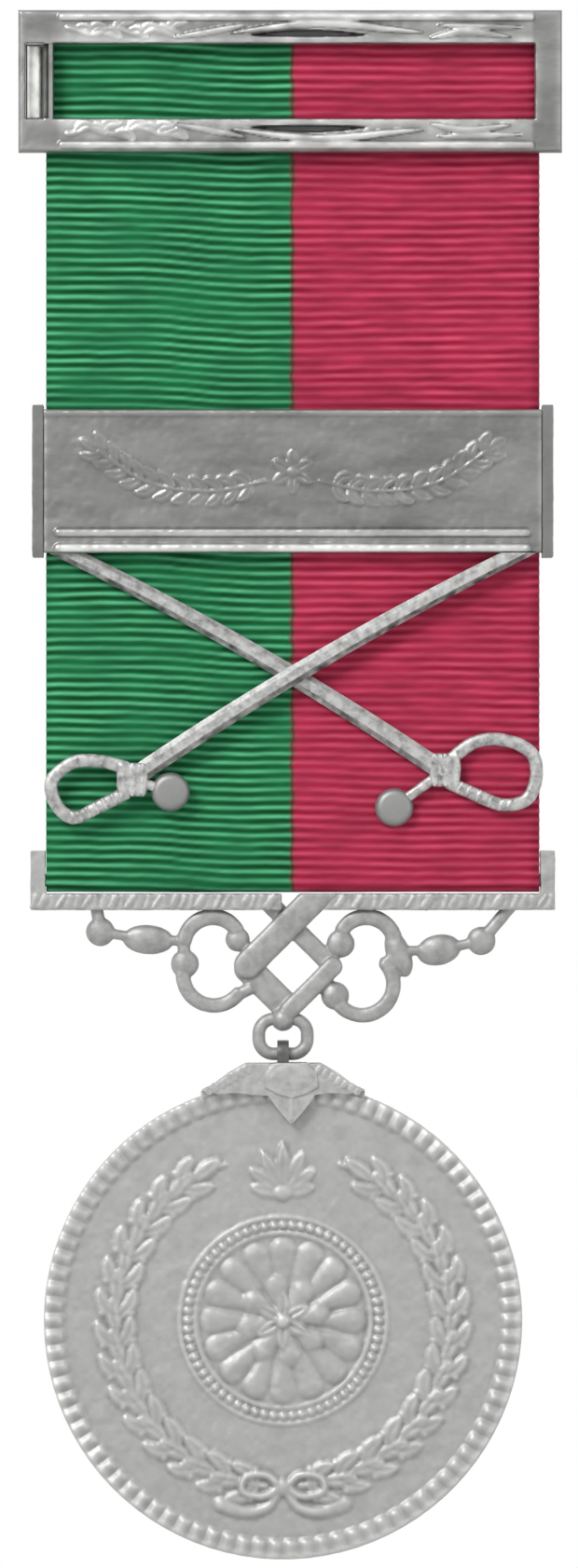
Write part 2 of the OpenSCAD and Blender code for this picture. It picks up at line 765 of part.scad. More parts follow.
module medal_disc() color(silver) translate([link_x, loop_y, disc_z]) difference() {
    union() {
        rod_y(-field_t / 2, field_t / 2, 0, 0, disc_r);
        facing(disc_t / 2, disc_t) border_outline();
    }
    rod_y(-disc_t, disc_t, 0, rivet_z - disc_z, rivet_r);
}

// Crescent that sits on the disc's edge, with its flat top under the eye
module saddle_outline() {
    rise = claw_h;
    sag = disc_r - sqrt(disc_r * disc_r - claw_w * claw_w);
    half = claw_w;
    r = (half * half + (rise + sag) * (rise + sag)) / (2 * (rise + sag));
    difference() {
        intersection() {
            translate([0, disc_r + rise - r]) circle(r);
            translate([-claw_w, disc_r - sag]) square([2 * claw_w, sag + rise]);
        }
        circle(disc_r + claw_fit);
    }
}

module leaf(at, angle, l, w) {
    translate(at) rotate(angle) translate([l / 2, 0]) lens(l, w);
}

// Middle leaf that hangs down over the field, and a side leaf along the edge at its left and right
module leaves_outline() {
    leaf([0, disc_r + tongue_rise], -90, tongue_l + tongue_rise, 2 * tongue_w);
    for (side = [0, 1]) mirror([side, 0])
        leaf([-side_leaf_back, disc_r + side_leaf_rise], -side_leaf_slope, claw_w, side_leaf_w);
}

module medal_claw() color(silver) translate([link_x, loop_y, disc_z]) difference() {
    union() {
        facing(disc_t / 2 + leaf_t / 2, disc_t + leaf_t) saddle_outline();
        facing(-disc_t / 2, leaf_t) leaves_outline();
        facing(disc_t / 2 + leaf_t, leaf_t) leaves_outline();
    }
    rod_y(-disc_t, disc_t, 0, rivet_z - disc_z, rivet_r);
    box(-eye_w / 2, eye_w / 2, -eye_r, eye_r, eye_foot_z - disc_z, claw_top_z - disc_z + 1);
}

module claw_rivet() color(bright_silver)
    rod_y(loop_y - disc_t / 2 - leaf_t, loop_y + disc_t / 2 + leaf_t, link_x, rivet_z, rivet_r);

module medal_eye() color(bright_silver) difference() {
    across(link_x - eye_w / 2, eye_w) {
        translate([loop_y, link_low_z]) circle(eye_r);
        translate([loop_y - eye_r, eye_foot_z]) square([2 * eye_r, link_low_z - eye_foot_z]);
    }
    rod_x(link_x - link_w, link_x + link_w, loop_y, link_low_z, link_r + link_fit);
}

brooch_frame();
rod_lug_left();
rod_lug_right();
top_rod();
hinge_ear_upper();
hinge_ear_lower();
hinge_wire();
brooch_pin();
pin_catch();
ribbon();
clasp_plate();
clasp_sleeve();
sabre_left();
sabre_right();
suspender_frame();
suspender_openwork();
ribbon_rod();
suspension_link();
medal_disc();
medal_claw();
claw_rivet();
medal_eye();
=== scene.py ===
import itertools
import math
from collections import namedtuple

import bmesh
import bpy
import numpy as np
from mathutils import Matrix, Vector


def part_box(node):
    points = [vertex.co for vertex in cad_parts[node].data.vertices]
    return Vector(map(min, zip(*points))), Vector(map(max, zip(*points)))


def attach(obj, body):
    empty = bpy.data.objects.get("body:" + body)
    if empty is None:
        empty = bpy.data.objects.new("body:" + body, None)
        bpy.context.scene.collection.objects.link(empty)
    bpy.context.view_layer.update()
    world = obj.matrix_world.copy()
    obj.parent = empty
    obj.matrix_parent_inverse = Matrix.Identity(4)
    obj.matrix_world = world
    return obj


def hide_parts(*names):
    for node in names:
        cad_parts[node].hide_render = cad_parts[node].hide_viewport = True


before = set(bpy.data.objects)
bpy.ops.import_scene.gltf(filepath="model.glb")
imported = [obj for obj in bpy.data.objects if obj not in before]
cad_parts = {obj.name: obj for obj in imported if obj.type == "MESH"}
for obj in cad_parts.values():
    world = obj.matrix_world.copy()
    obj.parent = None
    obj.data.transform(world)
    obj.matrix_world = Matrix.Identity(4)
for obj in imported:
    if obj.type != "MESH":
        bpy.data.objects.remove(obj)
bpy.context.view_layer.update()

MM = 0.001
FORWARD = np.array([0.0, -1.0, 0.0])
NOISE_CELLS = 32


def box_mm(node):
    low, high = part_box(node)
    return np.array(low) / MM, np.array(high) / MM


# Places taken from the frame
ribbon_low, ribbon_high = box_mm("ribbon")
brooch_low, brooch_high = box_mm("brooch_frame")
plate_low, plate_high = box_mm("clasp_plate")
sleeve_low, sleeve_high = box_mm("clasp_sleeve")
bar_low, bar_high = box_mm("suspender_frame")
link_low, link_high = box_mm("suspension_link")
disc_low, disc_high = box_mm("medal_disc")
claw_low, claw_high = box_mm("medal_claw")
RIBBON_X = (ribbon_low[0] + ribbon_high[0]) / 2
LOOP_Y = (ribbon_low[1] + ribbon_high[1]) / 2
FOLD_R = (ribbon_high[1] - ribbon_low[1]) / 2
TOP_ROD_Z = ribbon_high[2] - FOLD_R
ROD_Z = ribbon_low[2] + FOLD_R
METAL_Y = brooch_high[1]
DISC_AT = (disc_low + disc_high) / 2
DISC_R = (disc_high[0] - disc_low[0]) / 2
DISC_HALF_T = (disc_high[1] - disc_low[1]) / 2


# Helpers: curves, all as rows of (x, z) or (x, y, z) points

def smooth_curve(points, count=40):
    """A smooth curve through the points (Catmull-Rom)."""
    points = np.asarray(points, float)
    padded = np.vstack([2 * points[0] - points[1], points, 2 * points[-1] - points[-2]])
    places = np.linspace(0, len(points) - 1, count)
    piece = np.minimum(places.astype(int), len(points) - 2)
    t = (places - piece)[:, None]
    a, b, c, d = (padded[piece + k] for k in range(4))
    square = 2 * a - 5 * b + 4 * c - d
    cube = 3 * b - a - 3 * c + d
    return 0.5 * (2 * b + (c - a) * t + square * t**2 + cube * t**3)


def full_turn(count):
    return np.linspace(0, 2 * math.pi, count, endpoint=False)


def arc(at, r, start, end, count=24):
    angle = np.radians(np.linspace(start, end, count))
    return np.column_stack([at[0] + r * np.cos(angle), at[1] + r * np.sin(angle)])


def polar(at, r, angle):
    return arc(at, r, angle, angle, 1)[0]


def mirrored(points, side):
    """The points as they are for side 1, and mirrored left to right for side -1."""
    return np.asarray(points, float) * (side, 1)


def lifted(path, y):
    """A front-view path of (x, z) points at the depth y."""
    path = np.asarray(path, float)
    return np.column_stack([path[:, 0], np.broadcast_to(y, len(path)), path[:, 1]])


def heading(stem, i):
    """The direction of a stem at its point i, and the direction to its left."""
    step = stem[i + 1] - stem[i - 1]
    step = step / np.linalg.norm(step)
    return step, np.array([-step[1], step[0]])


def smoothstep(value, low, high):
    t = np.clip((value - low) / (high - low), 0, 1)
    return t * t * (3 - 2 * t)


def lattice_noise(points, pitch, seed):
    """Smooth noise from -1 to 1 with features of about the pitch."""
    grid = np.random.default_rng(seed).uniform(-1, 1, (NOISE_CELLS, NOISE_CELLS, NOISE_CELLS))
    place = np.asarray(points) / pitch
    cell = np.floor(place).astype(int)
    part = place - cell
    part = part * part * (3 - 2 * part)
    total = np.zeros(len(place))
    for corner in itertools.product((0, 1), repeat=3):
        weight = np.prod(np.where(corner, part, 1 - part), axis=1)
        i, j, k = ((cell + corner) % NOISE_CELLS).T
        total += weight * grid[i, j, k]
    return total


def flat_noise(x, z, pitch, seed):
    points = np.column_stack([np.ravel(x), np.zeros(np.size(x)), np.ravel(z)])
    return lattice_noise(points, pitch, seed).reshape(np.shape(x))


def dents(x, z, *layers):
    """Unevenness of a front, from layers of (depth, pitch, seed)."""
    return sum(depth * flat_noise(x, z, pitch, seed) for depth, pitch, seed in layers)


# Helpers: solids as (vertices, faces)

def ring_faces(rings, sides, closed=False):
    faces = []
    for i in range(rings if closed else rings - 1):
        here, there = i * sides, (i + 1) % rings * sides
        for j in range(sides):
            k = (j + 1) % sides
            faces.append((here + j, here + k, there + k, there + j))
    return faces


def tube_faces(rings, sides):
    """Faces of a tube of rings, with a cap on each end."""
    faces = ring_faces(rings, sides)
    faces.append(tuple(range(sides))[::-1])
    faces.append(tuple(range((rings - 1) * sides, rings * sides)))
    return faces


def superellipse(power, sides):
    angle = full_turn(sides)
    wave = np.column_stack([np.cos(angle), np.sin(angle)])
    return np.sign(wave) * np.abs(wave) ** (2 / power)


def dense(outline, step):
    """A closed outline with extra points along its straight sides."""
    outline = np.asarray(outline, float)
    lines = []
    for a, b in zip(outline, np.roll(outline, -1, 0)):
        lines.append(np.linspace(a, b, math.ceil(math.dist(a, b) / step), endpoint=False))
    return np.vstack(lines)


def sweep(path, half_w, half_t, power=2.0, sides=24, closed=False, section=None):
    """A bar along the path, half_w wide in the front view and half_t thick in depth."""
    path = np.asarray(path, float)
    if closed:
        along = np.roll(path, -1, 0) - np.roll(path, 1, 0)
    else:
        along = np.gradient(path, axis=0)
    along /= np.linalg.norm(along, axis=1)[:, None]
    across = np.cross(along, FORWARD)
    across /= np.linalg.norm(across, axis=1)[:, None]
    depth = np.cross(across, along)
    if section is None:
        section = superellipse(power, sides)
    u, v = section.T
    half_w = np.broadcast_to(half_w, len(path))[:, None, None]
    half_t = np.broadcast_to(half_t, len(path))[:, None, None]
    rings = path[:, None] + across[:, None] * half_w * u[:, None] + depth[:, None] * half_t * v[:, None]
    if closed:
        faces = ring_faces(len(path), len(section), closed)
    else:
        faces = tube_faces(len(path), len(section))
    return rings.reshape(-1, 3), faces


def rounded_ends(path, r):
    """Factors that bring a bar's width down to a round end at both ends of its path."""
    steps = np.linalg.norm(np.diff(path, axis=0), axis=1)
    along = np.concatenate([[0], np.cumsum(steps)])
    inner = np.clip(1 - np.minimum(along, along[-1] - along) / r, 0, 1)
    return np.sqrt(np.maximum(1 - inner**2, 0.03))


def ellipsoid(at, radii, turn=0, sides=28):
    """An egg of three radii, turned by degrees in the front view."""
    rows = sides // 2
    down = np.linspace(0, math.pi, rows + 1)[1:-1]
    around = full_turn(sides)
    shell = np.stack([
        np.sin(down)[:, None] * np.cos(around),
        np.sin(down)[:, None] * np.sin(around),
        np.cos(down)[:, None] * np.ones(sides),
    ], axis=-1).reshape(-1, 3)
    verts = np.vstack([shell, [[0, 0, 1], [0, 0, -1]]]) * radii
    c, s = math.cos(math.radians(turn)), math.sin(math.radians(turn))
    verts = verts @ np.array([[c, 0, s], [0, 1, 0], [-s, 0, c]]) + at
    faces = ring_faces(rows - 1, sides)
    top, bottom = len(verts) - 2, len(verts) - 1
    last = (rows - 2) * sides
    for j in range(sides):
        k = (j + 1) % sides
        faces.append((top, k, j))
        faces.append((bottom, last + j, last + k))
    return verts, faces


def prism(outline, y_back, y_front):
    """A front-view outline of (x, z) points, from one depth to another."""
    outline = np.asarray(outline, float)
    count = len(outline)
    verts = np.vstack([lifted(outline, y_back), lifted(outline, y_front)])
    faces = [tuple(range(count)), tuple(range(count, 2 * count))[::-1]]
    for i in range(count):
        k = (i + 1) % count
        faces.append((i, k, count + k, count + i))
    return verts, faces


def block(low, high):
    outline = [(low[0], low[2]), (high[0], low[2]), (high[0], high[2]), (low[0], high[2])]
    return prism(outline, high[1], low[1])


def lathe(profile, at, sides=48):
    """A piece turned about a line in depth; the profile is (radius, depth) from front to back."""
    angle = full_turn(sides)
    rings = []
    for r, y in profile:
        rings.append(np.column_stack([r * np.cos(angle), np.full(sides, y), r * np.sin(angle)]))
    return np.vstack(rings) + at, tube_faces(len(profile), sides)


def rod_along_x(x0, x1, y, z, r, sides=40):
    angle = full_turn(sides)
    ring = np.column_stack([0 * angle, y + r * np.cos(angle), z + r * np.sin(angle)])
    return np.vstack([ring + (x0, 0, 0), ring + (x1, 0, 0)]), tube_faces(2, sides)


def join(parts):
    verts, faces, offset = [], [], 0
    for part_verts, part_faces in parts:
        verts.append(part_verts)
        faces.extend(tuple(i + offset for i in face) for face in part_faces)
        offset += len(part_verts)
    return np.vstack(verts), faces


# Helpers: meshes

COARSE_DENTS = 0.9
FINE_DENTS = 0.35


def mesh_from(name, verts, faces, outward=False):
    mesh = bpy.data.meshes.new(name)
    mesh.from_pydata(np.asarray(verts).tolist(), [], faces)
    if outward:
        work = bmesh.new()
        work.from_mesh(mesh)
        bmesh.ops.recalc_face_normals(work, faces=work.faces)
        work.to_mesh(mesh)
        work.free()
    mesh.update()
    return mesh


def add_object(name, data):
    thing = bpy.data.objects.new(name, data)
    bpy.context.scene.collection.objects.link(thing)
    return thing


def cut_above(part, z):
    """What lies below the height z of a solid, closed with a flat face."""
    mesh = mesh_from("uncut", *part)
    work = bmesh.new()
    work.from_mesh(mesh)
    bpy.data.meshes.remove(mesh)
    everything = work.verts[:] + work.edges[:] + work.faces[:]
    bmesh.ops.bisect_plane(
        work, geom=everything, plane_co=(0, 0, z), plane_no=(0, 0, 1), clear_outer=True)
    bmesh.ops.holes_fill(work, edges=[edge for edge in work.edges if edge.is_boundary], sides=0)
    work.verts.index_update()
    verts = np.array([vertex.co for vertex in work.verts])
    faces = [tuple(vertex.index for vertex in face.verts) for face in work.faces]
    work.free()
    return verts, faces


def vectors(items, what):
    """A vector of every vertex or polygon, such as its normal."""
    flat = np.empty(len(items) * 3)
    items.foreach_get(what, flat)
    return flat.reshape(-1, 3)


def coordinates(mesh):
    return vectors(mesh.vertices, "co")


def paint(mesh, name, values):
    attribute = mesh.attributes.new(name, "FLOAT", "POINT")
    attribute.data.foreach_set("value", np.asarray(values, np.float32).ravel())


def paint_wear_and_shade(mesh, reach, depth, painted_shade):
    """Writes the attribute wear_and_shade: 0.5 on flat ground, more on edges, less in hollows and where
    painted shade darkens it.
    """
    co = coordinates(mesh)
    ends = np.empty(len(mesh.edges) * 2, np.int32)
    mesh.edges.foreach_get("vertices", ends)
    a, b = ends.reshape(-1, 2).T
    count = len(co)
    valence = np.maximum(np.bincount(a, minlength=count) + np.bincount(b, minlength=count), 1)
    even = co.copy()
    for _ in range(reach):
        mean = np.empty_like(even)
        for axis in range(3):
            value = even[:, axis]
            total = np.bincount(a, value[b], count) + np.bincount(b, value[a], count)
            mean[:, axis] = total / valence
        even = 0.4 * even + 0.6 * mean
    bulge = np.einsum("ij,ij->i", co - even, vectors(mesh.vertices, "normal"))
    paint(mesh, "wear_and_shade", np.clip(0.5 + bulge / depth / 2 - painted_shade, 0, 1))


def cast(name, parts, voxel, relax, grain, seed, bore=None):
    """One cast piece: the parts are melted into one skin, relaxed, bored and made lightly uneven."""
    holder = add_object(name + "_rough", mesh_from(name + "_rough", *join(parts)))
    remesh = holder.modifiers.new("remesh", "REMESH")
    remesh.mode = "VOXEL"
    remesh.voxel_size = voxel
    smooth = holder.modifiers.new("smooth", "SMOOTH")
    smooth.factor = 0.5
    smooth.iterations = relax
    spent = [holder]
    if bore:
        tool = add_object(name + "_tool", mesh_from(name + "_tool", *bore, outward=True))
        cut = holder.modifiers.new("bore", "BOOLEAN")
        cut.operation = "DIFFERENCE"
        cut.solver = "EXACT"
        cut.object = tool
        spent.append(tool)
    depsgraph = bpy.context.evaluated_depsgraph_get()
    mesh = bpy.data.meshes.new_from_object(holder.evaluated_get(depsgraph))
    for thing in spent:
        old = thing.data
        bpy.data.objects.remove(thing)
        bpy.data.meshes.remove(old)
    mesh.name = name
    co = coordinates(mesh)
    uneven = 0.6 * lattice_noise(co, COARSE_DENTS, seed) + 0.4 * lattice_noise(co, FINE_DENTS, seed + 1)
    co += vectors(mesh.vertices, "normal") * (grain * uneven)[:, None]
    mesh.vertices.foreach_set("co", co.ravel())
    mesh.update()
    return mesh


def add_piece(mesh, body, nodes, material, depth, reach=14, sharp=None, painted_shade=0.0):
    """Shades, scales and mounts a finished mesh on its body, in place of CAD nodes."""
    paint_wear_and_shade(mesh, reach, depth, painted_shade)
    mesh.transform(Matrix.Scale(MM, 4))
    mesh.shade_smooth()
    if sharp:
        mesh.set_sharp_from_angle(angle=math.radians(sharp))
    mesh.materials.clear()
    mesh.materials.append(material)
    piece = add_object(mesh.name, mesh)
    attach(piece, body)
    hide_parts(*nodes)
    return piece


# Relief: raised ornament on a flat ground

VEIN_DEPTH = 0.35
VEIN_WIDTH = 0.22
TIP_HALF = 0.03
COVERING = 0.04


class Relief:
    """Heights in millimetres over the ground, at points (x, z)."""

    def __init__(self, x, z, softness=0.5):
        self.x = x
        self.z = z
        self.softness = softness
        self.height = np.zeros_like(x)

    def near(self, path, margin):
        low = path.min(0) - margin
        high = path.max(0) + margin
        return (self.x > low[0]) & (self.x < high[0]) & (self.z > low[1]) & (self.z < high[1])

    def stroke(self, path, half_w, height):
        """A rounded ridge along a path, whose width and height may change along it."""
        path = np.asarray(path, float)
        widths = np.broadcast_to(np.asarray(half_w, float), len(path))
        heights = np.broadcast_to(np.asarray(height, float), len(path))
        where = self.near(path, widths.max())
        x, z = self.x[where], self.z[where]
        top = self.height[where]
        for a, b, wa, wb, ha, hb in zip(path, path[1:], widths, widths[1:], heights, heights[1:]):
            step = b - a
            t = np.clip(((x - a[0]) * step[0] + (z - a[1]) * step[1]) / (step @ step + 1e-12), 0, 1)
            gap = np.hypot(x - a[0] - t * step[0], z - a[1] - t * step[1])
            rise = np.maximum(1 - (gap / np.maximum(wa + t * (wb - wa), 1e-3)) ** 2, 0)
            top = np.maximum(top, (ha + t * (hb - ha)) * rise**self.softness)
        self.height[where] = top

    def taper(self, path, half_w, height, sharpness=0.7):
        """A ridge that is widest in the middle and pointed at both ends."""
        share = np.linspace(0, 1, len(path))
        self.stroke(path, half_w * np.sin(math.pi * share) ** sharpness + TIP_HALF, height)

    def leaf(self, base, tip, half_w, height, bend):
        """A pointed leaf with a sunk middle vein, lowest at its base."""
        base, tip = np.asarray(base, float), np.asarray(tip, float)
        side = np.array([base[1] - tip[1], tip[0] - base[0]])
        path = smooth_curve([base, (base + tip) / 2 + bend * side, tip], 9)
        self.taper(path, half_w, height * np.linspace(0.6, 1.0, len(path)))
        vein = smooth_curve(path[1:-1], 30)
        where = self.near(vein, half_w) & (self.height > 0.3 * height)
        gap = np.full(where.sum(), np.inf)
        for point in vein:
            gap = np.minimum(gap, np.hypot(self.x[where] - point[0], self.z[where] - point[1]))
        self.height[where] -= VEIN_DEPTH * height * np.exp(-((gap / (VEIN_WIDTH * half_w)) ** 2))

    def dome(self, at, radii, height):
        u = (self.x - at[0]) / radii[0]
        v = (self.z - at[1]) / radii[1]
        rise = np.maximum(1 - u * u - v * v, 0)
        self.height = np.maximum(self.height, height * rise**0.5)

    def layer(self, draw):
        """Draws ornament for both sides on a layer of its own, which covers what lies below it."""
        top = Relief(self.x, self.z, self.softness)
        for side in (-1, 1):
            draw(top, side)
        self.height = np.where(top.height > COVERING, top.height, self.height)


def edge_drop(distance, r):
    """How far a rounded edge of radius r lies below the face, at a distance from the edge."""
    inner = np.clip(r - distance, 0, r)
    return r - np.sqrt(r * r - inner * inner)


def rim_distance(x, z, low, high):
    """The distance from the nearest side of a plate that lies between two corners."""
    return np.minimum(np.minimum(x - low[0], high[0] - x), np.minimum(z - low[2], high[2] - z))


def grid_lines(stops, pitch):
    lines = []
    for a, b in zip(stops, stops[1:]):
        lines.append(np.linspace(a, b, max(2, math.ceil((b - a) / pitch) + 1))[:-1])
    return np.append(np.concatenate(lines), stops[-1])


def plate(name, xs, zs, front, y_back, holes=()):
    """A plate whose front follows the depths in front, with square holes through it."""
    nx, nz = len(xs), len(zs)
    mid_x, mid_z = (xs[1:] + xs[:-1]) / 2, (zs[1:] + zs[:-1]) / 2
    kept = np.ones((nz - 1, nx - 1), bool)
    for x0, x1, z0, z1 in holes:
        kept &= ~((mid_x > x0) & (mid_x < x1) & ((mid_z > z0) & (mid_z < z1))[:, None])
    grid_x, grid_z = np.meshgrid(xs, zs)
    face = np.stack([grid_x, front, grid_z], -1).reshape(-1, 3)
    back = np.stack([grid_x, np.full_like(front, y_back), grid_z], -1).reshape(-1, 3)
    row, column = np.nonzero(kept)
    a = row * nx + column
    quads = np.column_stack([a, a + 1, a + nx + 1, a + nx])
    behind = quads[:, ::-1] + nx * nz
    rim = np.zeros((nz + 1, nx + 1), bool)
    rim[1:-1, 1:-1] = kept
    walls = []
    for r, c in zip(row, column):
        v = r * nx + c
        for dr, dc, p, q in ((-1, 0, v, v + 1), (1, 0, v + nx + 1, v + nx),
                             (0, -1, v + nx, v), (0, 1, v + 1, v + nx + 1)):
            if not rim[r + 1 + dr, c + 1 + dc]:
                walls.append((q, p, p + nx * nz, q + nx * nz))
    faces = np.vstack([quads, behind, np.array(walls)])
    used, faces = np.unique(faces, return_inverse=True)
    return mesh_from(name, np.vstack([face, back])[used], faces.reshape(-1, 4).tolist())


# Materials

PIT_SCALE = 5200
PIT_DEPTH = 0.03


def feed(tree, node, inputs):
    """Fills a node's sockets, by name or number, with links or with plain values."""
    for key, value in inputs.items():
        socket = node.inputs[key]
        if isinstance(value, bpy.types.NodeSocket):
            tree.links.new(value, socket)
        elif socket.type == "RGBA":
            socket.default_value = (*value, 1)
        else:
            socket.default_value = value


def add_node(tree, kind, inputs=None, **properties):
    node = tree.nodes.new(kind)
    for key, value in properties.items():
        setattr(node, key, value)
    feed(tree, node, inputs or {})
    return node


def ramp(tree, factor, stops):
    node = add_node(tree, "ShaderNodeValToRGB", {"Fac": factor})
    elements = node.color_ramp.elements
    while len(elements) < len(stops):
        elements.new(0.5)
    for element, (place, colour) in zip(elements, stops):
        element.position = place
        element.color = (*colour, 1)
    return node.outputs["Color"]


def mix_colours(tree, first, second, factor=1.0, mode="MIX"):
    inputs = {"Factor": factor, 6: first, 7: second}
    return add_node(tree, "ShaderNodeMix", inputs, data_type="RGBA", blend_type=mode).outputs[2]


def combine(tree, operation, first, second):
    return add_node(tree, "ShaderNodeMath", {0: first, 1: second}, operation=operation).outputs["Value"]


def noise(tree, place, scale, detail=4.0, roughness=0.55):
    inputs = {"Vector": place, "Scale": scale, "Detail": detail, "Roughness": roughness}
    return add_node(tree, "ShaderNodeTexNoise", inputs).outputs["Fac"]


def stretched(tree, place, length):
    """Places for a pattern that is drawn out along x, by the given length to one."""
    inputs = {0: place, 1: (1 / length, 1, 1)}
    return add_node(tree, "ShaderNodeVectorMath", inputs, operation="MULTIPLY").outputs["Vector"]


def map_range(tree, value, to_low, to_high, from_low=0.0, from_high=1.0):
    inputs = {
        "Value": value,
        "From Min": from_low, "From Max": from_high,
        "To Min": to_low, "To Max": to_high,
    }
    return add_node(tree, "ShaderNodeMapRange", inputs).outputs["Result"]


def x_of(tree, place):
    return add_node(tree, "ShaderNodeSeparateXYZ", {"Vector": place}).outputs["X"]


def object_place(tree):
    return add_node(tree, "ShaderNodeTexCoord").outputs["Object"]


def painted(tree, name):
    return add_node(tree, "ShaderNodeAttribute", attribute_name=name).outputs["Fac"]


def bumped(tree, height, strength, depth):
    inputs = {"Height": height, "Strength": strength, "Distance": depth * MM}
    return add_node(tree, "ShaderNodeBump", inputs).outputs["Normal"]


def mix_shaders(tree, output, factor, first, second):
    """Mixes two shaders into the tree's output node."""
    mix = add_node(tree, "ShaderNodeMixShader", {"Fac": factor, 1: first, 2: second})
    feed(tree, tree.nodes[output], {"Surface": mix.outputs["Shader"]})


def new_material(name):
    material = bpy.data.materials.new(name)
    material.use_nodes = True
    tree = material.node_tree
    return material, tree, tree.nodes["Principled BSDF"], object_place(tree)


def grey(value):
    return (value, value, value * 0.99)


def silver(name, tone, hollow, edge, roughness, metallic=0.6, tarnish=0.06, pits=0.25, worn=True,
           polish_and_highlight=1.0, clouds=420, streak=1.0):
    """Old silver: dark in the hollows, bright on worn edges, with cloudy tarnish and fine pits."""
    material, tree, shader, place = new_material(name)
    cloud = noise(tree, stretched(tree, place, streak), clouds, 5, 0.6)
    if worn:
        # The wear_and_shade attribute holds patina in the hollows and bright worn edges, and on some
        # pieces painted shade.
        colour = ramp(tree, painted(tree, "wear_and_shade"), [
            (0.0, grey(hollow)), (0.4, grey(tone * 0.94)), (0.55, grey(tone)), (1.0, grey(edge))])
        # Where polish_and_highlight is painted, the colour is brightened by that factor: partly polish,
        # partly painted highlight.
        lit = mix_colours(tree, colour, (polish_and_highlight, polish_and_highlight, polish_and_highlight), mode="MULTIPLY")
        colour = mix_colours(tree, colour, lit, painted(tree, "polish_and_highlight"))
    else:
        colour = ramp(tree, cloud, [(0.25, grey(hollow)), (0.5, grey(tone)), (0.75, grey(edge))])
    stain = ramp(tree, cloud, [(0.3, grey(1 - 2 * tarnish)), (0.6, grey(1.0))])
    feed(tree, shader, {
        "Base Color": mix_colours(tree, colour, stain, mode="MULTIPLY"),
        "Metallic": metallic,
        "Roughness": map_range(tree, cloud, roughness + 0.1, roughness - 0.08),
        "Normal": bumped(tree, noise(tree, place, PIT_SCALE, 3, 0.6), pits, PIT_DEPTH),
    })
    return material


# Silvers: name, tone, tone of the hollows, tone of the edges and roughness
STRUCK = silver("struck_silver", 0.412, 0.20, 0.56, 0.48, metallic=0.45, pits=0.5, clouds=700)
BRIGHT_CAST = silver("bright_cast_silver", 0.42, 0.13, 0.52, 0.5,
                     metallic=0.5, tarnish=0.14, pits=0.5, clouds=900)
# The openwork and claw silvers are copies of the bright cast silver: the darker tone of the openwork and
# link is painted shade, the claw's lighter tone is painted light.
SHADED_OPEN_CAST = silver("shaded_open_cast_silver", 0.38, 0.13, 0.46, 0.5,
                   metallic=0.5, tarnish=0.14, pits=0.6, clouds=1200)
LIT_CLAW_CAST = silver("lit_claw_cast_silver", 0.455, 0.13, 0.56, 0.5,
                   metallic=0.5, tarnish=0.14, pits=0.6, clouds=1200)
GREY_CAST = silver("grey_cast_silver", 0.26, 0.06, 0.33, 0.38,
                   metallic=0.75, tarnish=0.2, polish_and_highlight=2.3, streak=3.0)
END_CAST = silver("end_cast_silver", 0.215, 0.08, 0.27, 0.40, metallic=0.75, tarnish=0.1)
BLADE = silver("blade_silver", 0.49, 0.05, 0.76, 0.44, metallic=0.5, tarnish=0.28, pits=0.6, clouds=1600)
HILT = silver("hilt_silver", 0.50, 0.05, 0.80, 0.44, metallic=0.5, tarnish=0.33, pits=0.6, clouds=1500)
BUTTON = silver("button_silver", 0.28, 0.20, 0.33, 0.46)
WIRE = silver("drawn_wire", 0.44, 0.38, 0.52, 0.32, worn=False)
# The eye's dark wire is painted shade, for the shadow the eye sits in.
SHADED_WIRE = silver("shaded_wire", 0.14, 0.08, 0.22, 0.4, metallic=0.7, worn=False)
# The pin wire's near-white tone is a painted highlight, for the barrel that sits in the slot's shade.
PIN_WIRE = silver("pin_wire", 0.94, 0.82, 0.97, 0.52, metallic=0.9, worn=False, clouds=900)
SMALL_CAST = silver("small_cast_silver", 0.36, 0.26, 0.46, 0.44, worn=False)


# Ribbon

RIB_PITCH = 0.7
RIB_DEPTH = 0.05
STEPS_PER_RIB = 6
RIBBON_T = 0.34
RIBBON_COLUMNS = 37
LAP = 8.0
LAP_TOP_Z = -43.0
LAP_RAMP = 3.0
LAP_GAP = 0.05
SEAM_X = RIBBON_X - 0.04
SEAM_HALF = 0.27
SEAM_WANDER = 0.25
THREAD_SCALE = 312.5
THREAD_DEPTH = 0.02
LOOP_R = FOLD_R - RIBBON_T / 2 - 0.03


def loop_point(s, offset):
    """Depth and height on the loop at the length s from the lap's top, going down the back."""
    run = TOP_ROD_Z - ROD_Z
    turn = math.pi * LOOP_R
    start = LAP_TOP_Z - ROD_Z
    s = np.asarray(s, float)
    ends = np.cumsum([start, turn, run, turn, run - start + LAP])
    leg = np.searchsorted(ends[:-1], s)
    left = s - np.concatenate([[0], ends])[leg]
    angle = left / LOOP_R
    down, round_low, up, round_high = (leg == k for k in range(4))
    flat_back = down | (leg == 4)
    normal_y = np.select([flat_back, round_low, up], [1.0, np.cos(angle), -1.0], -np.cos(angle))
    normal_z = np.select([round_low, round_high], [-np.sin(angle), np.sin(angle)], 0.0)
    rod_z = np.select([down, round_low, up, round_high],
                      [LAP_TOP_Z - left, ROD_Z, ROD_Z + left, TOP_ROD_Z], TOP_ROD_Z - left)
    lap = (RIBBON_T + LAP_GAP) * smoothstep(s, ends[-1] - LAP - LAP_RAMP, ends[-1] - LAP)
    reach = LOOP_R + offset
    return LOOP_Y + normal_y * reach + lap, rod_z + normal_z * reach


def loop_length():
    return 2 * (TOP_ROD_Z - ROD_Z) + 2 * math.pi * LOOP_R + LAP


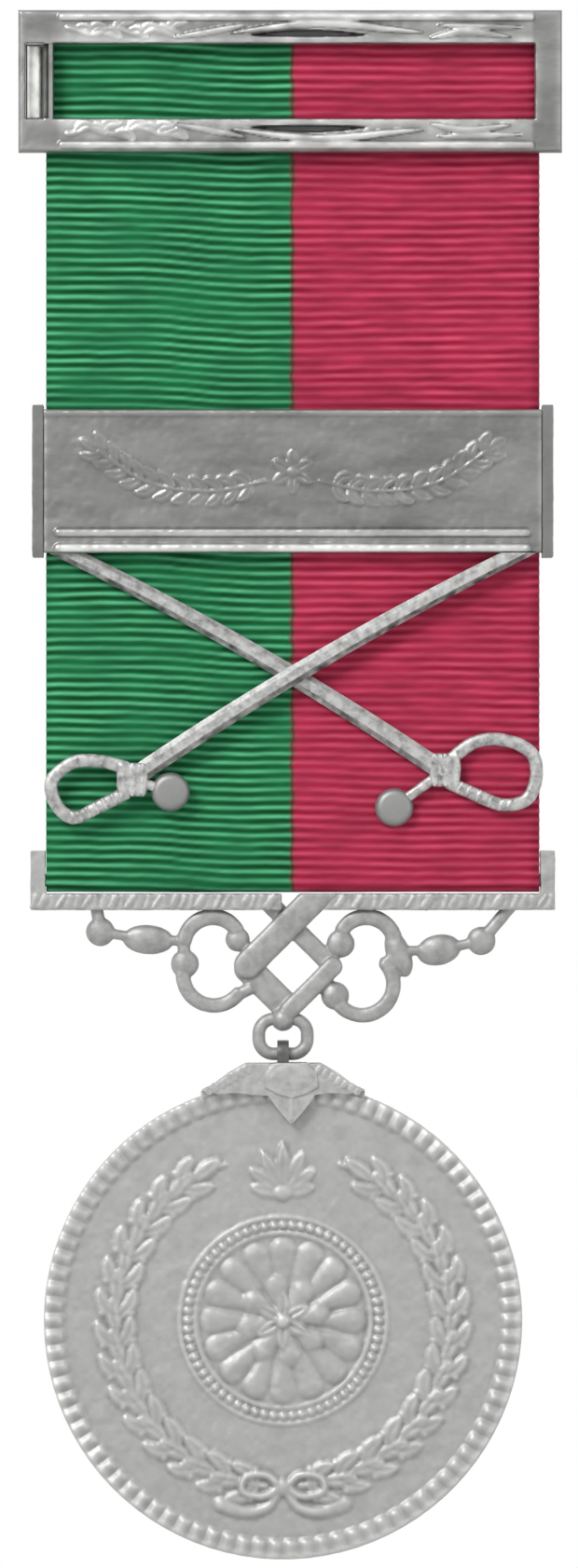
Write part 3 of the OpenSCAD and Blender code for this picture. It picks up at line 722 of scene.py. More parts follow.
def ribbon_mesh():
    """A ribbed loop whose ribs wander a little, vary in strength and step up near the middle."""
    length = loop_length()
    rows = int(length / RIB_PITCH * STEPS_PER_RIB)
    s = np.linspace(0, length, rows)[:, None] * np.ones(RIBBON_COLUMNS)
    x = np.linspace(ribbon_low[0], ribbon_high[0], RIBBON_COLUMNS) * np.ones((rows, 1))
    sway = 0.16 * flat_noise(x / 10, s / 7, 1.0, 5) + 0.5 * smoothstep(x, -12.0, -3.0)
    sway = sway + 0.05 * flat_noise(x / 1.6, s / 1.2, 1.0, 8)
    strength = 0.64 + 0.36 * flat_noise(x / 4, s / 1.4, 1.0, 7)
    rib = strength * np.cos(2 * math.pi * (s + sway) / RIB_PITCH)
    rim = (x < ribbon_low[0] + 0.01) * 1.0 - (x > ribbon_high[0] - 0.01)
    x = x + rim * 0.015 * (1 - rib)
    layers = []
    for side in (1, -1):
        y, z = loop_point(s, side * (RIBBON_T / 2 + RIB_DEPTH * (rib - 1)))
        layers.append(np.stack([x, y, z], -1).reshape(-1, 3))
    index = np.arange(rows * RIBBON_COLUMNS).reshape(rows, RIBBON_COLUMNS)
    quads = np.stack([index[:-1, :-1], index[1:, :-1], index[1:, 1:], index[:-1, 1:]], -1).reshape(-1, 4)
    below = rows * RIBBON_COLUMNS
    border = np.concatenate([index[0, :-1], index[:-1, -1], index[-1, :0:-1], index[:0:-1, 0]])
    following = np.roll(border, -1)
    walls = np.column_stack([border, following, following + below, border + below])
    faces = np.vstack([quads, quads[:, ::-1] + below, walls])
    mesh = mesh_from("ribbon_weave", np.vstack(layers), faces.tolist())
    # The rib attribute carries the ribs' painted shade and painted light into the silk's colour.
    paint(mesh, "rib", np.tile((rib / 2 + 0.5).ravel(), 2))
    return mesh


def ribbon_material():
    """Ribbed silk, green on one half and crimson on the other, with painted shade between the ribs and
    painted light on their crests.
    """
    material, tree, shader, place = new_material("ribbed_silk")
    rib = painted(tree, "rib")
    green = ramp(tree, rib, [(0.05, (0.0, 0.038, 0.004)), (0.5, (0.014, 0.190, 0.071)),
                             (0.95, (0.132, 0.54, 0.287))])
    crimson = ramp(tree, rib, [(0.05, (0.31, 0.008, 0.032)), (0.5, (0.47, 0.032, 0.086)),
                               (0.95, (0.667, 0.085, 0.172))])
    wander = map_range(tree, noise(tree, place, 900, 2), -SEAM_WANDER * MM, SEAM_WANDER * MM)
    across = combine(tree, "ADD", x_of(tree, place), wander)
    beyond = map_range(tree, across, 0, 1, (SEAM_X - SEAM_HALF) * MM, (SEAM_X + SEAM_HALF) * MM)
    halves = mix_colours(tree, green, crimson, beyond)
    seam = ramp(tree, beyond, [(0.0, grey(1.0)), (0.5, grey(0.45)), (1.0, grey(1.0))])
    halves = mix_colours(tree, halves, seam, mode="MULTIPLY")
    watered = ramp(tree, noise(tree, place, 160, 3, 0.5), [(0.3, grey(0.86)), (0.7, grey(1.0))])
    streaks = noise(tree, stretched(tree, place, 5.0), 1500, 2)
    broken = ramp(tree, streaks, [(0.35, grey(0.74)), (0.65, grey(1.0))])
    sheen = mix_colours(tree, watered, broken, mode="MULTIPLY")
    threads = add_node(tree, "ShaderNodeTexWave", {
        "Vector": place, "Scale": THREAD_SCALE, "Distortion": 2.0, "Detail": 2.0, "Detail Scale": 3.0,
    }, bands_direction="X").outputs["Fac"]
    feed(tree, shader, {
        "Base Color": mix_colours(tree, halves, sheen, mode="MULTIPLY"),
        "Roughness": 0.7,
        "Specular IOR Level": 0.1,
        "Sheen Weight": 0.04,
        "Normal": bumped(tree, threads, 0.35, THREAD_DEPTH),
    })
    return material


def thread_material():
    material, tree, shader, place = new_material("sewing_thread")
    twist = noise(tree, place, 6000, 2)
    colour = ramp(tree, twist, [(0.3, (0.20, 0.16, 0.11)), (0.7, (0.42, 0.36, 0.27))])
    feed(tree, shader, {"Base Color": colour, "Roughness": 0.8})
    return material


STITCH_PITCH = 1.5
STITCH_L = 1.0
STITCH_R = 0.09
STITCH_BEND = 0.12


def stitches_mesh():
    """Two rows of stitches through the lap at the ribbon's back."""
    y = LOOP_Y + LOOP_R + RIBBON_T * 1.5 + 0.06
    parts = []
    count = int((ribbon_high[0] - ribbon_low[0] - 2) / STITCH_PITCH)
    share = np.linspace(-1, 1, 7)
    for z in (LAP_TOP_Z - 1.0, LAP_TOP_Z - LAP + 0.8):
        for i in range(count + 1):
            x = RIBBON_X + (i - count / 2) * STITCH_PITCH
            path = np.column_stack([
                x + share * STITCH_L / 2, y - STITCH_BEND * share**4, z + STITCH_BEND * share])
            parts.append(sweep(path, STITCH_R, STITCH_R * 0.8, sides=8))
    return mesh_from("ribbon_stitches", *join(parts), outward=True)


ribbon = add_piece(ribbon_mesh(), "brooch", ["ribbon"], ribbon_material(), depth=1,
                   reach=1)
stitches = add_piece(stitches_mesh(), "brooch", [], thread_material(), depth=1,
                     reach=1)


# Brooch frame

PLATE_PITCH = 0.1
RAIL_BEAD_R = 0.35
RAIL_BEAD_IN = 0.55
WINDOW = (ribbon_low[0] + 0.6, ribbon_high[0] - 0.4, -2.9, 2.9)
SLOT = (brooch_low[0] + 0.55, brooch_low[0] + 1.95, -2.9, 2.9)
WALL = 0.02
LEDGE = (SLOT[0] + WALL, SLOT[1] - WALL, SLOT[2] + WALL, SLOT[3] - WALL)
LEDGE_W = 0.1
HOLE = (LEDGE[0] + LEDGE_W, LEDGE[1] - LEDGE_W, LEDGE[2] + LEDGE_W, LEDGE[3] - LEDGE_W)
BAR_MIDDLE = (SLOT[1] + WINDOW[0]) / 2
DARK_BAR = (SLOT[1], BAR_MIDDLE, LEDGE[2], LEDGE[3])
PALE_BAR = (BAR_MIDDLE + WALL, WINDOW[0], LEDGE[2], LEDGE[3])
SUNK_PARTS = ((LEDGE, 1.2), (DARK_BAR, 0.8), (PALE_BAR, 0.1))
LENS_X = 1.4
LENS_HALF = 4.9
LENS_UP = 0.78
LENS_HALF_H = 0.28
LENS_DEPTH = 0.3
VINE_PITCH = 3.6
VINE_END = -8.6
RAIL_LEFT = -17.6
RAIL_RIGHT = 18.6
# Streaks on a rail: points (x, distance from the window), half width and height
RAIL_STREAKS = (
    (((-4.6, 0.8), (-1.0, 1.3), (2.1, 1.55), (5.0, 1.4), (7.6, 1.1), (10.4, 0.85)), 0.32, 0.28),
    (((10.8, 0.4), (13.6, 0.9), (17.0, 0.5)), 0.3, 0.22),
    (((11.4, 1.4), (14.6, 1.3), (18.0, 1.25)), 0.22, 0.16),
    (((-9.0, 0.45), (-6.2, 0.9), (-3.4, 1.45)), 0.26, 0.2),
)


def hole_distance(x, z, hole):
    dx = np.maximum(np.maximum(hole[0] - x, x - hole[1]), 0)
    dz = np.maximum(np.maximum(hole[2] - z, z - hole[3]), 0)
    return np.hypot(dx, dz)


def within(x, z, hole):
    return hole_distance(x, z, hole) < WALL / 2


def lens(x, z, up):
    """1 in the sunk lens of the upper or lower rail and 0 outside it."""
    share = (x - LENS_X) / LENS_HALF
    middle = WINDOW[3] + LENS_UP - 0.15 * share**2
    room = LENS_HALF_H * (1 - share**2) - np.abs(up * z - middle)
    return smoothstep(room, -0.04, 0.1)


def rail_ornament(relief, up):
    """Bead, streaks, a leafy vine and a sunk lens on the upper or lower rail."""
    inner = WINDOW[3]
    outer = up * (brooch_high[2] - RAIL_BEAD_IN)
    relief.stroke([(RAIL_LEFT, outer), (RAIL_RIGHT, outer)], RAIL_BEAD_R, 0.3)
    for points, half_w, height in RAIL_STREAKS:
        path = (smooth_curve(points) + (0, inner)) * (1, up)
        relief.taper(path, half_w, height, 0.5)
    x = np.linspace(RAIL_LEFT + 0.4, VINE_END, 60)
    vine = np.column_stack([x, up * (inner + 0.95 + 0.25 * np.sin(2 * math.pi * x / VINE_PITCH))])
    relief.stroke(vine, 0.2, 0.12)
    for k, at in enumerate(vine[4::7]):
        rise = up * (0.5 if k % 2 else -0.5)
        relief.leaf(at, at + (1.5, rise), 0.46, 0.13, 0.2)
    sunk = lens(relief.x, relief.z, up)
    relief.height = relief.height * (1 - sunk) - LENS_DEPTH * sunk


def brooch_mesh():
    xs = grid_lines([brooch_low[0], SLOT[0], LEDGE[0], HOLE[0], HOLE[1], LEDGE[1], SLOT[1], BAR_MIDDLE,
                     PALE_BAR[0], WINDOW[0], WINDOW[1], brooch_high[0]], PLATE_PITCH)
    zs = grid_lines([brooch_low[2], SLOT[2], LEDGE[2], HOLE[2], HOLE[3], LEDGE[3], SLOT[3],
                     brooch_high[2]], PLATE_PITCH)
    x, z = np.meshgrid(xs, zs)
    relief = Relief(x, z)
    for up in (-1, 1):
        rail_ornament(relief, up)
    drop = edge_drop(rim_distance(x, z, brooch_low, brooch_high), 0.3)
    for hole in (WINDOW, SLOT):
        drop = drop + edge_drop(hole_distance(x, z, hole), 0.15)
    uneven = dents(x, z, (0.03, 1.4, 11), (0.015, 0.5, 12))
    front = brooch_low[1] + RAIL_BEAD_R - relief.height + drop + uneven
    for part, depth in SUNK_PARTS:
        front = front + depth * within(x, z, part)
    return plate("brooch_frame_cast", xs, zs, front, METAL_Y, (WINDOW, HOLE))


def paint_rails(mesh):
    """Polish and painted highlight on the rails' ground and raised work, rubbed unevenly."""
    x, y, z = coordinates(mesh).T
    on_rail = smoothstep(x, RAIL_LEFT - 0.6, RAIL_LEFT) * smoothstep(-x, -RAIL_RIGHT - 0.3, -RAIL_RIGHT)
    height = brooch_low[1] + RAIL_BEAD_R - y
    ground = smoothstep(height, -0.2, -0.05)
    raised = smoothstep(height, -0.05, 0.12)
    rubbed = 0.75 + 0.45 * flat_noise(x / 2, z, 0.6, 13)
    paint(mesh, "polish_and_highlight", on_rail * (0.35 * ground + 0.65 * raised) * rubbed)


def brooch_painted_shade(mesh):
    """Painted shade in the lenses, round the hinge and on the bar beside it."""
    x, y, z = coordinates(mesh).T
    dark = 0.8 * np.maximum(lens(x, z, 1), lens(x, z, -1))
    for part in (LEDGE, DARK_BAR):
        dark = np.maximum(dark, within(x, z, part))
    return 0.43 * dark * (y < METAL_Y - WALL)


def brighten_slot_walls(mesh):
    """Gives the slot's walls the mesh's second material, the near-white pin metal, as painted light that
    brightens the slot and the barrel's reflection.
    """
    middle = vectors(mesh.polygons, "center") / MM
    upright = np.abs(vectors(mesh.polygons, "normal")[:, 1]) < 0.3
    walls = upright & within(middle[:, 0], middle[:, 2], SLOT)
    mesh.polygons.foreach_set("material_index", walls.astype(np.int32))


brooch = brooch_mesh()
paint_rails(brooch)
add_piece(brooch, "brooch", ["brooch_frame"], GREY_CAST, depth=0.22, reach=40, sharp=50,
          painted_shade=brooch_painted_shade(brooch))
brooch.materials.append(PIN_WIRE)
brighten_slot_walls(brooch)


# Clasp

CLASP_BORDER = 0.6
CLASP_BEAD_R = 0.35
HEM_HALF = 0.42
BORDER_RISE = 0.25
STRAP_HALF = 3.0
STRAP_T = 0.5


def sprig(relief, stem, length, half_w, height, every=4):
    """A stem with pairs of leaves along it and one at its end."""
    relief.stroke(stem, 0.35 * half_w, height * 0.8)
    for i in range(every, len(stem) - 1, every):
        step, normal = heading(stem, i)
        for hand in (-1, 1):
            tip = stem[i] + length * (0.8 * step + hand * 0.6 * normal)
            relief.leaf(stem[i], tip, half_w, height, 0.15 * hand)
    step = stem[-1] - stem[-2]
    relief.leaf(stem[-1], stem[-1] + length * step / np.linalg.norm(step), half_w, height, 0)


def rosette(relief, at, r, height, count, turn=90):
    for k in range(count):
        relief.leaf(at, polar(at, r, turn + 360 * k / count), 1.8 * r / count, height, 0)
    relief.dome(at, (0.3 * r, 0.3 * r), height * 1.3)


def clasp_ornament(relief, middle):
    """A laurel spray to each side of a rosette, rubbed low in places."""
    at = (RIBBON_X, middle + 0.7)
    for side in (-1, 1):
        stem = mirrored([(2.1, -0.7), (6.4, -1.5), (11.2, -0.8), (15.0, 1.6)], side) + at
        sprig(relief, smooth_curve(stem, 46), 1.7, 0.44, 0.2)
    rosette(relief, at, 1.7, 0.2, 6)
    relief.height *= 0.75 + 0.4 * flat_noise(relief.x, relief.z, 1.3, 23)


def paint_hem(mesh):
    """Polish and painted highlight along the plate's lower edge, strongest on its raised hem and bead."""
    x, y, z = coordinates(mesh).T
    left, right, low = plate_low[0], plate_high[0], plate_low[2]
    height = plate_low[1] + BORDER_RISE - y
    in_hem = smoothstep(-z, -low - 2.2, -low - 1.0) * (0.3 + 0.7 * smoothstep(height, 0.06, 0.2))
    sides = smoothstep(x, left + 0.8, left + 1.6) * smoothstep(-x, -right + 0.8, -right + 1.6)
    paint(mesh, "polish_and_highlight", in_hem * sides)


def clasp_plate_mesh():
    left, right = plate_low[0], plate_high[0]
    low, high = plate_low[2], plate_high[2]
    xs = grid_lines([left, right], PLATE_PITCH)
    zs = grid_lines([low, high], PLATE_PITCH)
    x, z = np.meshgrid(xs, zs)
    relief = Relief(x, z)
    inset = CLASP_BORDER / 2
    clasp_ornament(relief, (low + high) / 2)
    bead_z = low + 2 * CLASP_BORDER + CLASP_BEAD_R
    end = 2 * CLASP_BORDER
    relief.stroke([(left, high - inset), (right, high - inset)], inset, 0.1)
    relief.stroke([(left + end, low + inset), (right - end, low + inset)], HEM_HALF, BORDER_RISE)
    relief.stroke([(left + end, bead_z), (right - end, bead_z)], CLASP_BEAD_R, BORDER_RISE)
    drop = edge_drop(rim_distance(x, z, plate_low, plate_high), 0.2)
    uneven = dents(x, z, (0.05, 1.7, 21), (0.025, 0.45, 22))
    front = plate_low[1] + BORDER_RISE - relief.height + drop + uneven
    mesh = plate("clasp_plate_cast", xs, zs, front, METAL_Y)
    paint_hem(mesh)
    return mesh


def clasp_sleeve_mesh():
    """The strap behind the ribbon, with its two ends bent forward beside the plate."""
    middle = (plate_low[2] + plate_high[2]) / 2
    left, right = sleeve_low[0], sleeve_high[0]
    back = sleeve_high[1]
    parts = [block((left, back - STRAP_T, middle - STRAP_HALF), (right, back, middle + STRAP_HALF))]
    for x0, x1 in ((left, plate_low[0]), (plate_high[0], right)):
        parts.append(block((x0, sleeve_low[1], sleeve_low[2]), (x1, back, sleeve_high[2])))
    return cast("clasp_sleeve_cast", parts, voxel=0.1, relax=3, grain=0.03, seed=31)


add_piece(clasp_plate_mesh(), "clasp", ["clasp_plate"], GREY_CAST, depth=0.12, reach=16, sharp=50)
add_piece(clasp_sleeve_mesh(), "clasp", ["clasp_sleeve"], END_CAST, depth=0.2)


# Sabres: drawn with the hilt at the left of the guard, and mirrored for the other

GUARD_X = 11.8
GUARD_Z = -53.5
TIP_IN = 1.8
TIP_RUN = 2.4
BLADE_CURVE_R = 240.0
BLADE_HALF_W = 0.75
TIP_HALF_W = 0.6
SABRE_T = 0.72
BOW_HALF_W = 0.52
BOW_HALF_T = 0.35
BOW_Y = -0.36
GUARD_HALF_W = 1.2
GUARD_HALF_H = 1.3
GUARD_HALF_T = 0.34
GUARD_RIB_HALF_W = 0.28
GUARD_RIB_Y = -0.6
STRANDS = 6
STRAND_Y = -0.62
STRAND_RADII = (0.17, 0.16, 0.52)
STRAND_TURN = 25
BLADE_SECTION = dense([(-0.95, -1), (0.95, -1), (1.0, 0.0), (0.4, 1.0), (-0.45, 0.85), (-1.0, 0.1)], 0.2)
# The button's outline from front to back: radius and depth
BUTTON_PROFILE = (
    (0.05, -0.8), (0.9, -0.8), (1.15, -0.76), (1.34, -0.62), (1.46, -0.4), (1.5, -0.2),
    (1.44, -0.05), (1.34, 0.0), (0.05, 0.0),
)

# A hilt's places, from the blade's root: the line of its bow and grip, its guard block and its button
Hilt = namedtuple("Hilt", "bow guard_at button_at")
LEFT_HILT = Hilt(
    [(-1.0, 0.4), (-3.0, 0.9), (-5.2, 0.8), (-6.8, -0.6),
     (-6.5, -2.4), (-5.1, -3.45), (-3.2, -2.6), (-1.0, -1.5)],
    (-0.6, -0.5), (2.35, -1.45))
RIGHT_HILT = Hilt(
    [(-0.2, 0.9), (-2.3, 2.4), (-4.6, 2.55), (-6.6, 1.6), (-7.05, -0.2),
     (-6.3, -2.0), (-4.4, -2.45), (-2.0, -1.5), (-0.2, -0.7)],
    (0.0, 0.25), (3.95, -2.65))
SABRES = (
    ("sabre_right", -1, METAL_Y, RIGHT_HILT, 41),
    ("sabre_left", 1, METAL_Y - 0.75, LEFT_HILT, 43),
)


def blade_path():
    """The blade's bent middle line, with a run past the clasp's edge for the slanting cut of its tip."""
    run = GUARD_X + (plate_high[0] - plate_low[0]) / 2 - TIP_IN
    rise = plate_low[2] - GUARD_Z
    chord = math.hypot(run, rise)
    bend = math.asin(chord / 2 / BLADE_CURVE_R)
    start = math.atan2(rise, run) + bend
    turn = start - np.linspace(0, 2 * bend + TIP_RUN / BLADE_CURVE_R, 120)
    across = math.sin(start) - np.sin(turn)
    up = np.cos(turn) - math.cos(start)
    return BLADE_CURVE_R * np.column_stack([across, up])


def placed_sabre(part, y_back, side):
    verts, faces = part
    verts = verts + (-GUARD_X, y_back, GUARD_Z)
    verts[:, 0] = RIBBON_X + side * verts[:, 0]
    return verts, faces


def blade_mesh(name, y_back, side):
    path = blade_path()
    share = np.linspace(0, 1, len(path))
    half_w = BLADE_HALF_W + (TIP_HALF_W - BLADE_HALF_W) * share**1.5
    blade = sweep(lifted(path, -SABRE_T / 2), half_w, SABRE_T / 2, section=BLADE_SECTION)
    cut = cut_above(placed_sabre(blade, y_back, side), plate_low[2] - 0.02)
    return mesh_from(name, *cut, outward=True)


def blade_underside_shade(mesh):
    """Painted shade in specks along the blade's downward-facing lower edge."""
    downward = smoothstep(-vectors(mesh.vertices, "normal")[:, 2], 0.35, 0.6)
    specks = 0.5 + 0.5 * lattice_noise(coordinates(mesh), 0.45, 47)
    return 0.6 * downward * specks


def hilt_mesh(name, y_back, side, hilt, seed):
    """Bow and wire-bound grip, a ribbed guard block and the neck of the button."""
    bow_line = smooth_curve(hilt.bow, 90)
    guard = np.array(hilt.guard_at)
    block_line = np.linspace(guard - (GUARD_HALF_W, 0), guard + (GUARD_HALF_W, 0), 16)
    neck = np.linspace(guard, hilt.button_at, 12)
    ends = rounded_ends(block_line, 0.35)
    parts = [
        sweep(lifted(bow_line, BOW_Y), BOW_HALF_W, BOW_HALF_T, 2.3),
        sweep(lifted(block_line, -GUARD_HALF_T), GUARD_HALF_H * ends**0.5, GUARD_HALF_T, 4),
        sweep(lifted(neck, -GUARD_HALF_T), 0.4, 0.3, 2.2),
    ]
    for k in (-0.7, 0.0, 0.7):
        top = guard + (k * GUARD_HALF_W, GUARD_HALF_H)
        rib = np.linspace(top, top - (0, 2 * GUARD_HALF_H), 12)
        half_w = GUARD_RIB_HALF_W * rounded_ends(rib, 0.3)
        parts.append(sweep(lifted(rib, GUARD_RIB_Y), half_w, 0.2, 2.2))
    for strand in np.linspace(0.72, 0.94, STRANDS):
        middle = bow_line[int(strand * (len(bow_line) - 1))]
        parts.append(ellipsoid((middle[0], STRAND_Y, middle[1]), STRAND_RADII, STRAND_TURN))
    placed = [placed_sabre(part, y_back, side) for part in parts]
    return cast(name, placed, voxel=0.07, relax=2, grain=0.035, seed=seed)


def button_mesh(name, y_back, side, at):
    part = lathe(BUTTON_PROFILE, np.array([at[0], 0, at[1]]))
    return mesh_from(name, *placed_sabre(part, y_back, side), outward=True)


for node, side, y_back, hilt, seed in SABRES:
    blade = blade_mesh(node + "_blade", y_back, side)
    add_piece(blade, "clasp", [node], BLADE, depth=0.2, reach=6, sharp=25, painted_shade=blade_underside_shade(blade))
    add_piece(hilt_mesh(node + "_hilt", y_back, side, hilt, seed), "clasp", [node], HILT, depth=0.09)
    button = button_mesh(node + "_button", y_back, side, hilt.button_at)
    add_piece(button, "clasp", [node], BUTTON, depth=0.4, reach=2)


# Suspender frame: a bar in two halves with a notch between them, and posts

REEDS = 60
POST_GAP = 0.06
BAR_H = ribbon_low[2] - 0.03 - bar_low[2]
BAR_HALF_T = 0.9
NOTCH_X = RIBBON_X - 0.85
KNOT_AT = (0.0, -4.4)
KNOT_HOLE = 2.05
BROAD = 2.2
NARROW = 1.5
BROAD_OUT = KNOT_HOLE / math.sqrt(2) + BROAD / 2
NARROW_OUT = KNOT_HOLE / math.sqrt(2) + NARROW / 2
STRAP_FOOT = RIBBON_X - KNOT_AT[1] - math.sqrt(2) * BROAD_OUT


def suspender_frame_mesh():
    left, right = bar_low[0], bar_high[0]
    posts = ((left, ribbon_low[0] - POST_GAP), (ribbon_high[0] + POST_GAP, right))
    low, top = bar_low[2], bar_low[2] + BAR_H
    front, back = LOOP_Y - BAR_HALF_T, LOOP_Y + BAR_HALF_T
    slanting = [(STRAP_FOOT, low), (right, low), (right, top), (STRAP_FOOT + BAR_H, top)]
    parts = [block((left, front, low), (NOTCH_X, back, top)), prism(slanting, back, front)]
    for x0, x1 in posts:
        parts.append(block((x0, front, low), (x1, back, bar_high[2])))
    pitch = (right - left) / REEDS
    for i in range(REEDS):
        x = left + (i + 0.5) * pitch
        if NOTCH_X - 0.4 < x < STRAP_FOOT + BROAD:
            continue
        lean = 0.22 + 0.2 * math.sin(i * 2.4)
        reed = np.linspace((x - lean, low + 0.1), (x + lean, top - 0.1), 8)
        half_w, half_t = 0.24 + 0.1 * math.sin(i * 1.7), 0.11 + 0.04 * math.sin(i * 3.1)
        parts.append(sweep(lifted(reed, front), half_w, half_t))
    return cast("suspender_frame_cast", parts, voxel=0.08, relax=3, grain=0.04, seed=51)


add_piece(suspender_frame_mesh(), "suspender", ["suspender_frame"], BRIGHT_CAST, depth=0.2)


# Suspender openwork, measured from the middle of the bar's underside

STRAP_LIFT = 0.2
STRAP_HALF_T = 0.55
SCROLL_HALF_W = 0.56
SCROLL_HALF_T = 0.55
UPPER_R = 2.25
LOWER_R = 2.4
KNOB_R = 1.1
BEAD_R = 1.12
LINK_R = 0.5
LINK_X = (link_low[0] + link_high[0]) / 2
LINK_TOP = link_high[2] - LINK_R
LINK_BOTTOM = link_low[2] + LINK_R
LINK_BEND_R = 1.15
BARREL_R = 0.95
BORE_R = LINK_R + 0.08
BORE_HALF = 4


def on_corner(path):
    """A path drawn in the knot's own axes, turned to stand on its corner."""
    turned = np.column_stack([path[:, 0] - path[:, 1], path[:, 0] + path[:, 1]])
    return turned / math.sqrt(2) + KNOT_AT


def knot_straps():
    """Four straps round an open square on its corner: two lie over the others, one over the bar."""
    broad, narrow = BROAD_OUT, NARROW_OUT
    top = 2 * -KNOT_AT[1]
    runs = (
        ((-broad - 0.9, broad), (top, broad), BROAD, -STRAP_LIFT, 0.4),
        ((narrow + 0.75, -narrow), (-narrow - 1.1, -narrow), NARROW, -STRAP_LIFT, 0.0),
        ((-broad, -narrow - 0.6), (-broad, broad + 0.9), BROAD, STRAP_LIFT, 0.0),
        ((narrow, top), (narrow, -narrow - 0.7), NARROW, STRAP_LIFT, 0.0),
    )
    parts = []
    for start, end, width, depth, over in runs:
        line = on_corner(np.linspace(start, end, 60))
        ends = rounded_ends(line, width / 2)
        depth = depth - over * smoothstep(line[:, 1], -1.6, 0.0)
        parts.append(sweep(lifted(line, depth), width / 2 * ends, STRAP_HALF_T * ends**0.5, 3.6))
    return parts


def bar(p, q, half=0.4):
    return sweep(lifted(np.linspace(p, q, 12), 0.0), half, half, 2.2)


def scroll(at, r, start, end, swell):
    path = arc(at, r, start, end, 48)
    share = np.linspace(-1, 1, len(path))
    ends = rounded_ends(path, SCROLL_HALF_W)
    half_w = SCROLL_HALF_W * (1 + swell * (1 - share**2)) * ends
    return sweep(lifted(path, 0.0), half_w, SCROLL_HALF_T * ends, 2.9)


def ball(at, r):
    return ellipsoid((at[0], 0.0, at[1]), (r, r * 0.6, r))


def scrollwork():
    left_upper, left_lower = (-6.2, -2.8), (-6.1, -5.0)
    right_upper, right_lower = (5.7, -2.8), (5.4, -5.75)
    left_oval, right_oval = (-11.2, -2.3), (11.3, -3.1)
    left_bead, right_bead = (-14.9, -1.7), (14.6, -2.4)
    return [
        scroll(left_upper, UPPER_R, 20, 185, 0.15),
        ball(polar(left_upper, UPPER_R - 0.25, 15), KNOB_R - 0.15),
        ball(polar(left_lower, LOWER_R, 160), KNOB_R),
        scroll(left_lower, LOWER_R, 165, 335, 0.05),
        bar(polar(left_lower, LOWER_R, 318), (-KNOT_HOLE - 1.1, KNOT_AT[1] - 1.6), 0.5),
        bar(polar(left_upper, UPPER_R, 180), polar(left_lower, LOWER_R, 160), 0.5),
        bar(polar(left_upper, UPPER_R, 170), left_oval),
        ellipsoid((left_oval[0], 0, left_oval[1]), (2.0, 0.65, 1.15), -4),
        bar(left_oval, left_bead),
        ball(left_bead, BEAD_R),
        bar(left_bead, (left_bead[0] - 0.3, 0.3), 0.5),
        scroll(right_upper, UPPER_R, -45, 160, 0.15),
        ellipsoid((8.2, 0, -3.4), (0.95, 0.7, 1.9), 20),
        ball(polar(right_upper, UPPER_R - 0.25, 175), KNOB_R),
        ball(polar(right_lower, LOWER_R - 0.1, 203), KNOB_R),
        scroll(right_lower, LOWER_R, -150, 55, 0.05),
        bar(polar(right_upper, UPPER_R, -10), right_oval),
        ellipsoid((right_oval[0], 0, right_oval[1]), (1.75, 0.65, 1.2), 12),
        bar(right_oval, right_bead),
        ball(right_bead, BEAD_R),
        bar(right_bead, (right_bead[0] + 2.3, 0.3), 0.5),
    ]


def openwork_mesh():
    straps = [cut_above(part, BAR_H) for part in knot_straps()]
    scrolls = [cut_above(part, 0.25) for part in scrollwork()]
    verts, faces = join(straps + scrolls)
    verts = verts + (RIBBON_X, LOOP_Y, bar_low[2])
    middle = np.array([LINK_X, LOOP_Y, LINK_TOP])
    barrel = ellipsoid(middle, (BARREL_R, BARREL_R, BARREL_R))
    hole = rod_along_x(LINK_X - BORE_HALF, LINK_X + BORE_HALF, LOOP_Y, LINK_TOP, BORE_R)
    parts = [(verts, faces), barrel]
    return cast("suspender_openwork_cast", parts, voxel=0.085, relax=2, grain=0.03, seed=61, bore=hole)


add_piece(openwork_mesh(), "suspender", ["suspender_openwork"], SHADED_OPEN_CAST, depth=0.14)


# Link

def link_mesh():
    left, right = link_low[0] + LINK_R + LINK_BEND_R, link_high[0] - LINK_R - LINK_BEND_R
    low, high = LINK_BOTTOM + LINK_BEND_R, LINK_TOP - LINK_BEND_R
    corners = ((right, high), (left, high), (left, low), (right, low))
    path = np.vstack([arc(at, LINK_BEND_R, 90 * k, 90 * k + 90, 14) for k, at in enumerate(corners)])
    part = sweep(lifted(path, LOOP_Y), LINK_R, LINK_R, sides=32, closed=True)
    return mesh_from("suspension_link_wire", *part, outward=True)


add_piece(link_mesh(), "link", ["suspension_link"], SHADED_OPEN_CAST, depth=0.3, reach=2)


# Disc

FIELD_DEPTH = 0.35
LIP_W = 0.35
DENTILS = 90
DENTIL_L = 1.25
FIELD_R = DISC_R - LIP_W - DENTIL_L
RELIEF_RISE = 1.0
SOFT_REACH = 0.12
SOFTNESS = 0.65
WREATH_R = 12.9
WREATH_LEAF_L = 2.7
WREATH_LEAF_HALF_W = 0.62
BERRY_R = 0.28
BEAD_RING_R = 7.4
RING_BEADS = 64
RING_BEAD_R = 0.34
LOBES = 16
MIDDLE = (0, 0)
# Rings of points on a face: pitch in the field, spread of the doublings and number on the border
FRONT_RINGS = (0.155, 1.0, 10)
BACK_RINGS = (0.5, 2.0, 5)
FIRST_RING_R = 0.35
FIRST_RING_POINTS = 45
DOUBLINGS = np.array([0.7, 1.5, 3.0, 6.5])


def ring_counts(pitch, spread, border_rings):
    """Radii of the rings from the middle outwards, each with its number of points."""
    field = np.arange(FIRST_RING_R, FIELD_R - 0.1, pitch)
    border = np.linspace(FIELD_R - 0.1, DISC_R - 0.08, border_rings)
    radii = np.concatenate([field, border, [DISC_R]])
    limits = np.append(DOUBLINGS * spread, FIELD_R - 0.2)
    counts = [FIRST_RING_POINTS * 2 ** int(np.searchsorted(limits, r)) for r in radii]
    return radii, counts


def disc_points(rings):
    radii, counts = ring_counts(*rings)
    points = [np.zeros((1, 2))]
    for r, count in zip(radii, counts):
        angle = full_turn(count)
        points.append(np.column_stack([r * np.cos(angle), r * np.sin(angle)]))
    return np.vstack(points), counts


